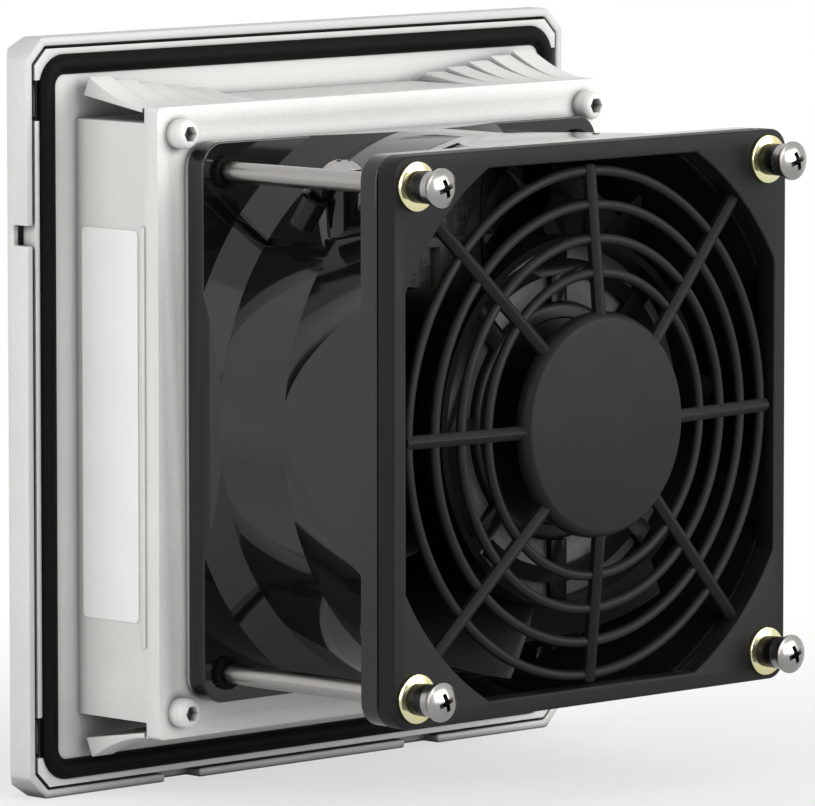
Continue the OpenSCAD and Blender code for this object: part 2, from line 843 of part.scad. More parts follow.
module clamp_top_left() color(light_grey) clamp_body();
module clamp_top_right() color(light_grey) mirror([1, 0, 0]) clamp_body();
module clamp_bottom_left() color(light_grey) mirror([0, 0, 1]) clamp_body();
module clamp_bottom_right() color(light_grey) rotate([0, 180, 0]) clamp_body();

module corner_screws() color(light_grey) {
    head_r = corner_head_d / 2;
    at_corners(corner_screw_at)
        translate([0, housing_d, 0])
            difference() {
                union() {
                    turned() {
                        square([head_r, corner_head_h - corner_head_r]);
                        square([head_r - corner_head_r, corner_head_h]);
                        intersection() {
                            translate([head_r - corner_head_r, corner_head_h - corner_head_r])
                                circle(r = corner_head_r);
                            square([head_r, corner_head_h]);
                        }
                    }
                    bar_y(corner_shank_d / 2, -corner_shank_len, EPS);
                }
                translate([0, corner_head_h - corner_socket_d, 0])
                    rotate([-90, 0, 0])
                        cylinder(d = corner_socket_w / cos(30), h = corner_socket_d + 1, $fn = 6);
            }
}

// Waisted outer shape of the fan, wide at both flanges
module fan_body() {
    intersection() {
        turned()
            polygon([
                [0, fan_y0], [flare_r, fan_y0], [flare_r, front_flange_y], [barrel_r, throat_y0],
                [barrel_r, throat_y1], [flare_r, rear_flange_y], [flare_r, fan_y1], [0, fan_y1]
            ]);
        slab(fan_y0, fan_y1)
            square(fan_w, center = true);
    }
}

// Waisted air passage of the fan
module fan_passage() {
    intersection() {
        turned()
            polygon([
                [0, fan_y0 - 1], [mouth_r, fan_y0 - 1], [mouth_r, fan_y0],
                [throat_r, throat_y0 - front_flare_len * 0.3], [throat_r, throat_y1],
                [mouth_r, fan_y1], [mouth_r, fan_y1 + 1], [0, fan_y1 + 1]
            ]);
        slab(fan_y0 - 1, fan_y1 + 1)
            square(2 * mouth_half, center = true);
    }
}

// Plate, struts and bearing tube that carry the motor
module motor_base() color(fan_black) {
    difference() {
        union() {
            bar_y(motor_plate_r, plate_y, tube_y);
            bar_y(tube_r, tube_y - EPS, tube_end);
            intersection() {
                fan_passage();
                for (i = [0 : strut_count - 1])
                    rotate([0, 45 + i * 360 / strut_count, 0])
                        translate([motor_plate_r - 1, plate_y, -strut_w / 2])
                            cube([mouth_r + 2 - motor_plate_r, strut_d, strut_w]);
            }
        }
        bar_y(bearing_d / 2 + bearing_clear, tube_y, front_bearing_y + bearing_w);
        bar_y(tube_lip_r, tube_y, tube_end + 1);
        bar_y(bearing_d / 2 + bearing_clear, rear_bearing_y, tube_end + 1);
    }
}

// Tapered boss for the earth screw
module earth_boss() {
    translate([earth_x, earth_y, earth_z - earth_boss_h])
        cylinder(r1 = screw_hole_r + 0.5, r2 = earth_boss_r, h = earth_boss_h);
}

module earth_screw_hole() {
    translate([earth_x, earth_y, earth_z - earth_grip - 0.5])
        cylinder(r = screw_hole_r, h = earth_grip + 1);
}

// Pair of raised lines across the front flare
module flare_ribs() {
    for (tilt = flare_rib_tilts)
        rotate([0, -tilt, 0])
            intersection() {
                turned()
                    polygon([
                        [barrel_r - 1, front_flange_y - EPS], [flare_r + flare_rib_h, front_flange_y - EPS],
                        [barrel_r + flare_rib_h, flare_rib_y1], [barrel_r - 1, flare_rib_y1]
                    ]);
                translate([0, front_flange_y - 1, -flare_rib_w / 2])
                    cube([fan_w, front_flare_len + 3, flare_rib_w]);
            }
}

module fan_frame() color(fan_black) {
    difference() {
        union() {
            fan_body();
            slab(fan_y0, front_flange_y)
                soft_square(fan_w, fan_corner_r);
            slab(rear_flange_y, fan_y1)
                soft_square(fan_w, fan_corner_r);
            intersection() {
                flare_ribs();
                slab(fan_y0, fan_y1)
                    square(fan_w, center = true);
            }
            earth_boss();
        }
        fan_passage();
        earth_screw_hole();
        at_corners(hole_at)
            bar_y(fan_hole_d / 2, fan_y0 - 1, fan_y1 + 1);
    }
}

// One blade: a swept strip twisted along the shaft
module blade() {
    steps = 6;
    function edge_at(r, side) =
        let (lead = blade_sweep * (hub_r - r) / (blade_r - hub_r))
        [r * cos(lead) - side * sin(lead), r * sin(lead) + side * cos(lead)];
    root_r = hub_r - hub_wall / 2;
    span = blade_r - root_r;
    translate([0, blade_y0, 0])
        rotate([-90, 0, 0])
            linear_extrude(height = blade_d, twist = -blade_twist, slices = 14, $fn = 14)
                polygon(concat(
                    [for (i = [0 : steps]) edge_at(root_r + span * i / steps, -blade_t / 2)],
                    [for (i = [steps : -1 : 0]) edge_at(root_r + span * i / steps, blade_t / 2)]
                ));
}

module impeller_hub() color(fan_black) {
    turned()
        polygon([
            [hub_in_r, hub_y0], [hub_r, hub_y0],
            [hub_r, hub_y1 - hub_chamfer], [hub_r - hub_chamfer, hub_y1],
            [0, hub_y1], [0, cup_y1], [hub_in_r, cup_y1]
        ]);
}

module impeller_blades() color(fan_black) {
    difference() {
        for (i = [0 : blade_count - 1])
            rotate([0, i * 360 / blade_count, 0])
                blade();
        bar_y(hub_r, blade_y0 - 1, blade_y0 + blade_d + 1);
    }
}

// Light disc on the hub behind the blades
module balance_plate() color(light_grey) {
    pipe_y(plate_r, hub_r + bearing_clear, plate_y1 - plate_t, plate_y1);
}

// Round rib and straight ribs on the balance plate, with a wall round it
module plate_spider() color(fan_black) {
    wall_r = plate_r + bearing_clear;
    difference() {
        union() {
            pipe_y(spider_r + spider_ring_w / 2, spider_r - spider_ring_w / 2,
                plate_y1, plate_y1 + spider_t);
            pipe_y(wall_r + spider_wall_t, wall_r, plate_y1 - plate_t, plate_y1 + spider_wall_h);
            for (i = [0 : spider_count - 1])
                rotate([0, i * 360 / spider_count, 0])
                    translate([0, plate_y1, -spider_w / 2])
                        cube([plate_r + spider_wall_t / 2, spider_t, spider_w]);
        }
        bar_y(hub_r + bearing_clear, plate_y1 - 1, plate_y1 + spider_t + 1);
    }
}

module rotor_cup() color(steel) {
    turned()
        polygon([
            [cup_in_r, cup_y0], [cup_r, cup_y0], [cup_r, cup_y1], [bush_spigot_r + bearing_clear, cup_y1],
            [bush_spigot_r + bearing_clear, cup_y1 - cup_t], [cup_in_r, cup_y1 - cup_t]
        ]);
}

module rotor_ring() color([0.45, 0.45, 0.47]) {
    pipe_y(ring_out_r, ring_out_r - rotor_ring_t, stator_y0 - 0.5, stator_y1 + 0.5);
}

module rotor_bush() color([0.78, 0.65, 0.35]) {
    difference() {
        union() {
            bar_y(inner_race_r, bush_y0, bush_y0 + 1);
            bar_y(bush_r, bush_y0 + 1 - EPS, cup_y1 - cup_t);
            bar_y(bush_spigot_r, cup_y1 - cup_t - EPS, cup_y1);
        }
        bar_y(shaft_d / 2 + bearing_clear, bush_y0 - 1, cup_y1 + 1);
    }
}

module motor_shaft() color(steel) {
    groove_r = shaft_d / 2 - circlip_bite - bearing_clear;
    difference() {
        bar_y(shaft_d / 2, shaft_y0, shaft_y1);
        pipe_y(shaft_d, groove_r, circlip_y - bearing_clear, circlip_y + circlip_t);
    }
}

module shaft_circlip() color([0.3, 0.3, 0.32]) {
    difference() {
        pipe_y(inner_race_r, shaft_d / 2 - circlip_bite, circlip_y, circlip_y + circlip_t - bearing_clear);
        translate([0, circlip_y - 1, -circlip_mouth / 2])
            cube([shaft_d, circlip_t + 2, circlip_mouth]);
    }
}

// Ring of a ball bearing with its ball groove
module race(r_out, r_in, y) {
    difference() {
        pipe_y(r_out, r_in, y, y + bearing_w);
        turned()
            translate([bearing_mid_r, y + bearing_w / 2])
                circle(r = ball_d / 2 + race_gap);
    }
}

module bearing_outer_rings() color(steel) {
    for (y = [front_bearing_y, rear_bearing_y])
        race(bearing_d / 2, outer_race_r, y);
}

module bearing_inner_rings() color(steel) {
    for (y = [front_bearing_y, rear_bearing_y])
        race(inner_race_r, shaft_d / 2 + bearing_clear, y);
}

module bearing_balls() color(steel) {
    for (y = [front_bearing_y, rear_bearing_y], i = [0 : ball_count - 1])
        rotate([0, i * 360 / ball_count, 0])
            translate([bearing_mid_r, y + bearing_w / 2, 0])
                sphere(d = ball_d);
}

// Outline of the stator: four teeth with coil slots between the yoke and the pole faces
module stator_outline(slot_gap) {
    difference() {
        circle(r = stator_r);
        circle(r = tube_r + bearing_clear);
        for (turn = [0 : 90 : 270])
            rotate(turn) {
                for (side = [0, 1])
                    mirror([0, side])
                        translate([coil_in_r - slot_gap, tooth_w / 2])
                            square([coil_out_r - coil_in_r + 2 * slot_gap, coil_w + slot_gap]);
                rotate(45)
                    translate([coil_in_r + tooth_w / 2, -pole_slot_w / 2])
                        square([stator_r, pole_slot_w]);
            }
    }
}

module stator_core() color([0.5, 0.5, 0.52]) {
    slab(stator_y0, stator_y1)
        stator_outline(coil_gap);
}

module stator_insulators() color([0.9, 0.9, 0.86]) {
    slab(stator_y0 - insulator_t, stator_y0)
        stator_outline(coil_gap);
    slab(stator_y1, stator_y1 + insulator_t)
        stator_outline(coil_gap);
}

// One coil round each tooth
module stator_windings() color([0.72, 0.38, 0.2]) {
    end = insulator_t + coil_gap;
    for (turn = [0 : 90 : 270])
        rotate([0, turn, 0])
            difference() {
                translate([coil_in_r, stator_y0 - end - coil_end, -tooth_w / 2 - coil_w])
                    cube([coil_out_r - coil_in_r, stator_len + 2 * (end + coil_end), tooth_w + 2 * coil_w]);
                translate([coil_in_r - 1, stator_y0 - end, -tooth_w / 2 - coil_gap])
                    cube([coil_out_r - coil_in_r + 2, stator_len + 2 * end, tooth_w + 2 * coil_gap]);
            }
}

// Spade terminal in the corner's own directions, its side parallel to the barrel
module spade(y, clear) {
    translate([spade_at_r - clear, y - spade_w / 2 - clear, spade_from])
        cube([spade_t + 2 * clear, spade_w + 2 * clear, spade_top - spade_from]);
}

// Both spades, or the slots for them with a clearance
module spade_pair(clear) {
    for (share = [0.27, 0.73])
        spade(block_y0 + block_len * share, clear);
}

module terminal_block() color(fan_black) {
    on_corner_line()
        difference() {
            translate([barrel_r - block_core, block_y0, -block_low])
                cube([block_h + block_core, block_len, block_w]);
            bar_y(block_r, block_y0 - 1, block_y0 + block_len + 1);
            turned()
                polygon([
                    [0, front_flange_y - 1], [flare_r + part_gap, front_flange_y - 1],
                    [flare_r + part_gap, front_flange_y], [block_r, throat_y0 + part_gap],
                    [0, throat_y0 + part_gap]
                ]);
            spade_pair(0.03);
        }
}

module spade_terminals() color(steel) {
    on_corner_line()
        spade_pair(0);
}

module earth_screw() color(steel) {
    crown_r = earth_head_d * 0.62;
    translate([earth_x, earth_y, earth_z + lug_t]) {
        rotate_extrude()
            intersection() {
                square([earth_head_d / 2, earth_head_h]);
                translate([0, earth_head_h - crown_r])
                    circle(r = crown_r);
            }
        translate([0, 0, -lug_t - earth_grip])
            cylinder(d = screw_d, h = lug_t + earth_grip + EPS);
    }
}

// Ring tongue under the screw with a crimp barrel that hangs from its edge
module earth_lug() color([0.1, 0.1, 0.1]) {
    difference() {
        union() {
            translate([earth_x, earth_y, earth_z])
                cylinder(d = earth_head_d + 0.4, h = lug_t);
            translate([earth_x + tongue_start, earth_y - tongue_w / 2, earth_z])
                cube([lug_x - earth_x - tongue_start + lug_t / 2, tongue_w, lug_t]);
            translate([lug_x - lug_t / 2, earth_y - tongue_w / 2, earth_z - lug_drop])
                cube([lug_t, tongue_w, lug_drop + lug_t]);
        }
        translate([earth_x, earth_y, earth_z - 1])
            cylinder(r = screw_hole_r, h = lug_t + 2);
    }
    translate([lug_x, earth_y - lug_setback, earth_z - lug_drop + lug_bite])
        rotate([-barrel_lug_tilt, 0, 0])
            translate([0, 0, -barrel_lug_len])
                difference() {
                    cylinder(d = barrel_lug_d, h = barrel_lug_len);
                    translate([0, 0, -1])
                        cylinder(d = barrel_lug_d - 2 * lug_t, h = barrel_lug_len);
                }
}

// Round bar from the guard's disc outwards, falling towards the frame
module guard_spoke(turn, end_r) {
    slope = atan2(guard_rise, guard_open - disc_r);
    len = (end_r - disc_r + 1) / cos(slope);
    rotate([0, turn, 0])
        translate([disc_r - 1, spoke_y_disc, 0])
            rotate([0, 0, -slope])
                rotate([0, 90, 0])
                    cylinder(d = spoke_t, h = len, $fn = 24);
}

// Opening in the guard's frame
module guard_window() {
    slab(guard_y0 - guard_t, guard_y1 + guard_t)
        round_cut_square(guard_open, guard_cut_r);
}

// Square frame of the finger guard
module guard_frame() color(fan_black) {
    difference() {
        slab(guard_y0, guard_y1)
            soft_square(fan_w, guard_corner_r);
        guard_window();
        at_corners(hole_at)
            bar_y(guard_hole_d / 2, guard_y0 - 1, guard_y1 + 1);
    }
}

// Rings, centre disc and the four straight spokes of the finger guard
module guard_rings() color(fan_black) {
    ring_step = (ring_outer_r - ring_inner_r) / (ring_count - 1);
    for (i = [0 : ring_count - 1]) {
        r = ring_inner_r + i * ring_step;
        drop = guard_rise * (r - disc_r) / (guard_open - disc_r);
        turned()
            translate([r, spoke_y_disc - drop - spoke_t / 4])
                circle(d = ring_t, $fn = 20);
    }
    for (i = [0 : 3])
        guard_spoke(90 * i, ring_outer_r + ring_t / 2 + spoke_over);
    turned()
        polygon([
            [0, disc_y0], [disc_r, disc_y0], [disc_r, disc_y1 - disc_bevel],
            [disc_r - disc_bevel, disc_y1], [0, disc_y1]
        ]);
}

// Four diagonal spokes that hold the rings in the guard's frame
module guard_spokes() color(fan_black) {
    difference() {
        intersection() {
            guard_window();
            for (i = [0 : 3])
                guard_spoke(45 + 90 * i, guard_cut_r + 1);
        }
        guard_rings();
    }
}

module long_screws() color(steel) {
    head_r = screw_head_d / 2;
    crown_r = head_r * 1.5;
    at_corners(hole_at)
        difference() {
            union() {
                bar_y(screw_d / 2, screw_y0, head_y0 + EPS);
                turned()
                    intersection() {
                        translate([0, head_y0])
                            square([head_r, screw_head_h]);
                        translate([0, head_y1 - crown_r])
                            circle(r = crown_r);
                    }
            }
            for (turn = [cross_turn, cross_turn + 90])
                rotate([0, turn, 0])
                    translate([-recess_w / 2, head_y1 - recess_d, -cross_w / 2])
                        cube([recess_w, recess_d + 1, cross_w]);
        }
}

module keeper_rings() color([0.08, 0.08, 0.08]) {
    at_corners(hole_at)
        pipe_y(keeper_d / 2, screw_hole_r, front_flange_y, front_flange_y + keeper_t);
}

module guard_washers() color(zinc_yellow) {
    at_corners(hole_at)
        pipe_y(washer_d / 2, screw_hole_r, guard_y1, washer_y1);
}

module spacer_sleeves() color([0.2, 0.2, 0.22]) {
    at_corners(hole_at)
        pipe_y(sleeve_d / 2, screw_hole_r, washer_y1, sleeve_y1);
}

// Split washers
module spring_washers() color(steel) {
    at_corners(hole_at)
        difference() {
            pipe_y(spring_washer_d / 2, screw_hole_r, sleeve_y1, head_y0);
            translate([-spring_washer_d, sleeve_y1 - 1, -split_w / 2])
                cube([spring_washer_d, spring_washer_t + 2, split_w]);
        }
}

module rating_label() color([0.97, 0.97, 0.97]) {
    translate([housing_half, label_y, label_z - label_len / 2])
        cube([label_t, label_w, label_len]);
}

design_cover();
cover_louvre();
filter_mat();
support_grille();
base_housing();
flange_gasket();
clamp_top_left();
clamp_top_right();
clamp_bottom_left();
clamp_bottom_right();
corner_screws();
fan_frame();
motor_base();
impeller_hub();
impeller_blades();
balance_plate();
plate_spider();
rotor_cup();
rotor_ring();
rotor_bush();
motor_shaft();
shaft_circlip();
bearing_outer_rings();
bearing_inner_rings();
bearing_balls();
stator_core();
stator_insulators();
stator_windings();
terminal_block();
spade_terminals();
earth_screw();
earth_lug();
guard_frame();
guard_rings();
guard_spokes();
long_screws();
keeper_rings();
guard_washers();
spacer_sleeves();
spring_washers();
rating_label();
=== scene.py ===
"""Filter fan for an enclosure wall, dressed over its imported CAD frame.

Sizes are written in millimetres and become metres when a mesh is made. In materials the sizes of grain,
clouds, fibres and pores are millimetres too, and other lengths are metres.
X runs to the label side, Y back into the enclosure, Z up. The mounting plane is Y = 0.
"""

import json
import math

import bmesh
import bpy
from mathutils import Matrix, Vector


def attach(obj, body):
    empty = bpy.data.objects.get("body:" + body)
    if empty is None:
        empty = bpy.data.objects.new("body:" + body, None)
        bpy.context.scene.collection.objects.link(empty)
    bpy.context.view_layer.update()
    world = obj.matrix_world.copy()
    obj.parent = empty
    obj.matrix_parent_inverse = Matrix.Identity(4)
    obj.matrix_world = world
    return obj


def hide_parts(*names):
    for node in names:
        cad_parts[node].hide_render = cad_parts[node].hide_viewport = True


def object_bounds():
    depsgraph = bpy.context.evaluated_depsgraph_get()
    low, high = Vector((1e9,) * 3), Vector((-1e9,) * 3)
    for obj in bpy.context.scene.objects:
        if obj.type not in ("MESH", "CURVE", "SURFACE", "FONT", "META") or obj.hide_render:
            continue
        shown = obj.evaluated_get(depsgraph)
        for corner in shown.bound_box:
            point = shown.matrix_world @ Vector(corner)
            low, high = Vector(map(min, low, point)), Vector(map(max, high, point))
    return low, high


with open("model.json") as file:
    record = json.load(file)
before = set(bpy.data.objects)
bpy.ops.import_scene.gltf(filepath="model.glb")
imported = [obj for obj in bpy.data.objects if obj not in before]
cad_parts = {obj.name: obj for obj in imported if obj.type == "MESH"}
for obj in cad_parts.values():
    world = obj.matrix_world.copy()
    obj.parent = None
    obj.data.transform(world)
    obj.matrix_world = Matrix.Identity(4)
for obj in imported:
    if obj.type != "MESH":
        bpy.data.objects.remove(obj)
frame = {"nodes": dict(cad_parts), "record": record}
cad_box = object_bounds()
scene = bpy.context.scene
MM = 0.001
SMOOTH_DEGREES = 32
UPRIGHT = (math.pi / 2, 0.0, 0.0)
WHITE = (1.0, 1.0, 1.0, 1.0)


# ---- Node helpers


def connect(tree, socket, value):
    """Links a socket's value or sets it as a constant."""
    if isinstance(value, bpy.types.NodeSocket):
        tree.links.new(value, socket)
    else:
        socket.default_value = value


def add(tree, kind, inputs=None, **settings):
    """Adds a node with its settings and inputs."""
    node = tree.nodes.new(kind)
    for key, value in settings.items():
        setattr(node, key, value)
    for key, value in (inputs or {}).items():
        connect(tree, node.inputs[key], value)
    return node


def titled(values):
    """Socket names from argument names: grain_size becomes Grain Size."""
    return {key.replace("_", " ").title(): value for key, value in values.items()}


def math_node(tree, operation, a, b=0.0):
    """One step of arithmetic on values or sockets."""
    return add(tree, "ShaderNodeMath", {0: a, 1: b}, operation=operation).outputs[0]


def times(tree, a, b):
    return math_node(tree, "MULTIPLY", a, b)


def per_metre(tree, size):
    """Texture scale that gives features of a size in millimetres."""
    return math_node(tree, "DIVIDE", 1.0 / MM, size)


def remap(tree, value, low, high, to_low=0.0, to_high=1.0):
    """Spreads a value's range over another and clamps it."""
    return add(tree, "ShaderNodeMapRange", {0: value, 1: low, 2: high, 3: to_low, 4: to_high}).outputs[0]


def noise(tree, vector, scale, detail, **more):
    """Noise with its further inputs by name."""
    inputs = {"Vector": vector, "Scale": scale, "Detail": detail, **titled(more)}
    return add(tree, "ShaderNodeTexNoise", inputs).outputs["Fac"]


def cells(tree, vector, scale, **settings):
    """Distance to the middle of the nearest cell."""
    inputs = {"Vector": vector, "Scale": scale}
    return add(tree, "ShaderNodeTexVoronoi", inputs, **settings).outputs["Distance"]


def split(tree, vector):
    """The three parts of a vector."""
    return add(tree, "ShaderNodeSeparateXYZ", {"Vector": vector}).outputs


def face_normal(tree):
    return add(tree, "ShaderNodeNewGeometry").outputs["Normal"]


def blend_colour(tree, factor, a, b):
    """Mixes two colours, which are inputs 6 and 7 of the node in its colour mode."""
    return add(tree, "ShaderNodeMix", {0: factor, 6: a, 7: b}, data_type="RGBA").outputs[2]


SOCKETS = {int: "NodeSocketInt", float: "NodeSocketFloat", tuple: "NodeSocketVector"}


def node_group(kind, name, inputs, outputs):
    """An empty node group. An input is given by its first value, or by its socket type if it has none."""
    tree = bpy.data.node_groups.new(name, kind)
    for label, value in inputs.items():
        bare = isinstance(value, str)
        socket_type = value if bare else SOCKETS[type(value)]
        socket = tree.interface.new_socket(label, in_out="INPUT", socket_type=socket_type)
        if not bare:
            socket.default_value = value
    for label, socket_type in outputs.items():
        tree.interface.new_socket(label, in_out="OUTPUT", socket_type=socket_type)
    return tree, tree.nodes.new("NodeGroupInput").outputs, tree.nodes.new("NodeGroupOutput").inputs


# ---- Shader groups


def shader_group(name, values, *results):
    """An empty shader group that takes a place and named values, and gives named numbers."""
    inputs = {"Vector": "NodeSocketVector", **values}
    return node_group("ShaderNodeTree", name, inputs, {label: "NodeSocketFloat" for label in results})


def ended(tree, out, **results):
    """Links a shader group's results."""
    for label, value in results.items():
        tree.links.new(value, out[label])
    return tree


def make_moulded_grain():
    """Fine spark-eroded grain and a slow cloudiness of moulded plastic."""
    tree, given, out = shader_group(
        "moulded_grain", {"Grain Size": 0.35, "Cloud Size": 12.0}, "Height", "Grain", "Cloud"
    )
    where = given["Vector"]
    grain_scale = per_metre(tree, given["Grain Size"])
    fine = noise(tree, where, grain_scale, 2.0, roughness=0.55)
    pits = cells(tree, where, grain_scale, feature="SMOOTH_F1")
    cloud = noise(tree, where, per_metre(tree, given["Cloud Size"]), 3.0, distortion=0.4)
    height = math_node(tree, "ADD", times(tree, fine, 0.6), times(tree, pits, 0.4))
    grain = remap(tree, fine, 0.35, 0.65)
    return ended(tree, out, Height=height, Grain=grain, Cloud=remap(tree, cloud, 0.3, 0.7))


def make_edge_wear():
    """Mask of rubbed edges: where a rounded normal leaves the true one, broken up by noise."""
    tree, given, out = shader_group("edge_wear", {"Radius": 0.0003, "Amount": 0.5}, "Mask")
    rounded = add(tree, "ShaderNodeBevel", {"Radius": given["Radius"]}, samples=4).outputs[0]
    same = add(tree, "ShaderNodeVectorMath", {0: rounded, 1: face_normal(tree)}, operation="DOT_PRODUCT")
    edge = remap(tree, same.outputs["Value"], 0.995, 0.86)
    breakup = remap(tree, noise(tree, given["Vector"], 420.0, 4.0), 0.4, 0.62)
    return ended(tree, out, Mask=times(tree, times(tree, edge, breakup), given["Amount"]))


def make_brushed_lines():
    """Streaks along one direction, made by stretching a noise."""
    values = {"Stretch": (1.0, 1.0, 1.0), "Scale": 900.0}
    tree, given, out = shader_group("brushed_lines", values, "Height", "Streak")
    ends = {0: given["Vector"], 1: given["Stretch"]}
    drawn = add(tree, "ShaderNodeVectorMath", ends, operation="MULTIPLY").outputs[0]
    streak = noise(tree, drawn, given["Scale"], 4.0, roughness=0.6)
    return ended(tree, out, Height=streak, Streak=remap(tree, streak, 0.3, 0.7))


def make_settled_dust():
    """Mask of thin dust on faces that look up, in soft patches."""
    tree, given, out = shader_group("settled_dust", {"Amount": 0.1}, "Mask")
    upward = remap(tree, split(tree, face_normal(tree))["Z"], 0.2, 0.95)
    patches = remap(tree, noise(tree, given["Vector"], 160.0, 5.0), 0.35, 0.7)
    return ended(tree, out, Mask=times(tree, times(tree, upward, patches), given["Amount"]))


def make_crevice_shade():
    """Mask of painted shade in concave corners, broken up by noise, and of darker painted shade in narrow
    pockets, both taken from ambient occlusion.
    """
    tree, given, out = shader_group("crevice_shade_group", {"Reach": 0.012, "Amount": 0.3, "Deep": 0.0}, "Mask")
    reach = {"Distance": given["Reach"]}
    open_share = add(tree, "ShaderNodeAmbientOcclusion", reach, samples=6).outputs["AO"]
    patches = remap(tree, noise(tree, given["Vector"], 300.0, 4.0), 0.2, 0.6, 0.92, 1.0)
    # painted shade: the less open a point is, the more its colour is darkened
    closed = times(tree, remap(tree, open_share, 0.9, 0.3), patches)
    pocket_shade = times(tree, remap(tree, open_share, 0.4, 0.12), given["Deep"])
    return ended(tree, out, Mask=math_node(tree, "MAXIMUM", times(tree, closed, given["Amount"]), pocket_shade))


def make_fine_fibres():
    """Crossing fibres of a bonded fleece."""
    tree, given, out = shader_group("fine_fibres", {"Fibre Size": 0.5}, "Height", "Gap", "Clump")
    where = given["Vector"]
    scale = per_metre(tree, given["Fibre Size"])
    strands = []
    for turn, stretch in ((0.3, (1.0, 1.0, 0.16)), (1.2, (0.16, 1.0, 1.0)), (2.3, (1.0, 1.0, 0.2))):
        course = {"Vector": where, "Rotation": (0.0, turn, 0.4), "Scale": stretch}
        turned = add(tree, "ShaderNodeMapping", course).outputs[0]
        strands.append(remap(tree, noise(tree, turned, scale, 2.0, distortion=0.6), 0.42, 0.62))
    height = math_node(tree, "MAXIMUM", math_node(tree, "MAXIMUM", *strands[:2]), strands[2])
    clump = remap(tree, noise(tree, where, 260.0, 3.0), 0.35, 0.65)
    return ended(tree, out, Height=height, Gap=math_node(tree, "SUBTRACT", 1.0, height), Clump=clump)


def make_foam_pores():
    """Skin of a foamed seal with pinholes and soft swells."""
    tree, given, out = shader_group("foam_pores", {"Pore Size": 0.5}, "Height", "Pore")
    where = given["Vector"]
    pore = remap(tree, cells(tree, where, per_metre(tree, given["Pore Size"])), 0.08, 0.3)
    height = math_node(tree, "ADD", times(tree, pore, 0.5), noise(tree, where, 220.0, 3.0))
    return ended(tree, out, Height=height, Pore=pore)


GROUPS = {
    "grain": make_moulded_grain(),
    "wear": make_edge_wear(),
    "brushed": make_brushed_lines(),
    "dust": make_settled_dust(),
    "crevice_shade": make_crevice_shade(),
    "fibres": make_fine_fibres(),
    "foam": make_foam_pores(),
}


def place(tree, group, where, **values):
    """Puts a shared group into a material with its own values."""
    inputs = {"Vector": where, **titled(values)}
    return add(tree, "ShaderNodeGroup", inputs, node_tree=GROUPS[group]).outputs


# ---- Materials

DUST_GREY = (0.42, 0.41, 0.39, 1.0)
SPECK_SCALE = 5200.0
RUBBED_RADIUS, GAP_REACH = 0.00025, 0.0014
FLARE_START, FLARE_END, MARK_LINE = (0.0209, 0.02105), (0.0268, 0.0266), (0.00016, 0.00008)
LOOKS_THERE = (0.55, 0.95)
COVER_FACE_TOP, COVER_FACE_DEPTH = 0.049, -0.0016
# Painted shade in front of a depth: how far it fades and how strong it is.
FRONT_SHADE_FADE, FRONT_SHADE_SHARE = 0.0015, 0.22


def new_material(name, constants):
    """A material with constant sockets, and its object coordinates."""
    material = bpy.data.materials.new(name)
    material.use_nodes = True
    tree = material.node_tree
    for label, value in constants.items():
        tree.nodes["Principled BSDF"].inputs[label].default_value = value
    return material, tree, add(tree, "ShaderNodeTexCoord").outputs["Object"]


def dressed(material, colour, rough, height, strength, depth):
    """Links a material's colour, roughness and bump, whose depth is in millimetres."""
    tree = material.node_tree
    shader = tree.nodes["Principled BSDF"]
    connect(tree, shader.inputs["Base Color"], colour)
    connect(tree, shader.inputs["Roughness"], rough)
    bump = add(tree, "ShaderNodeBump", {"Height": height, "Strength": strength, "Distance": depth * MM})
    tree.links.new(bump.outputs[0], shader.inputs["Normal"])
    return material


def tinted(colour, factor=1.0):
    """The colour made darker or lighter, with the fourth value that a socket takes."""
    return tuple(min(1.0, c * factor) for c in colour) + (1.0,)


def cover_face(tree, where, half):
    """Mask of the cover's flat rear face inside its rim."""
    x, y, z = split(tree, where)
    mask = math_node(tree, "GREATER_THAN", y, COVER_FACE_DEPTH)
    for value, limit in ((x, half), (z, COVER_FACE_TOP)):
        mask = times(tree, mask, math_node(tree, "LESS_THAN", math_node(tree, "ABSOLUTE", value), limit))
    return mask


def turned_back(tree):
    """Mask of faces that look to the rear or up."""
    normal = split(tree, face_normal(tree))
    return math_node(tree, "MAXIMUM", *(remap(tree, normal[axis], *LOOKS_THERE) for axis in "YZ"))


def painted_rib_edges(tree, where, tilts):
    """Masks of a painted shade band on the fan's front flare and of two painted highlight lines beside it,
    standing in for a low rib.
    """
    x, y, z = split(tree, where)
    offs = [
        math_node(tree, "SUBTRACT", times(tree, z, math.cos(turn)), times(tree, x, math.sin(turn)))
        for turn in map(math.radians, tilts)
    ]
    flared = times(tree, remap(tree, y, *FLARE_START), remap(tree, y, *FLARE_END))
    flared = times(tree, flared, math_node(tree, "GREATER_THAN", z, 0.0))
    band = times(tree, math_node(tree, "LESS_THAN", times(tree, *offs), 0.0), flared)
    edges = [remap(tree, math_node(tree, "ABSOLUTE", off), *MARK_LINE) for off in offs]
    return band, [times(tree, times(tree, edge, flared), 0.7) for edge in edges]


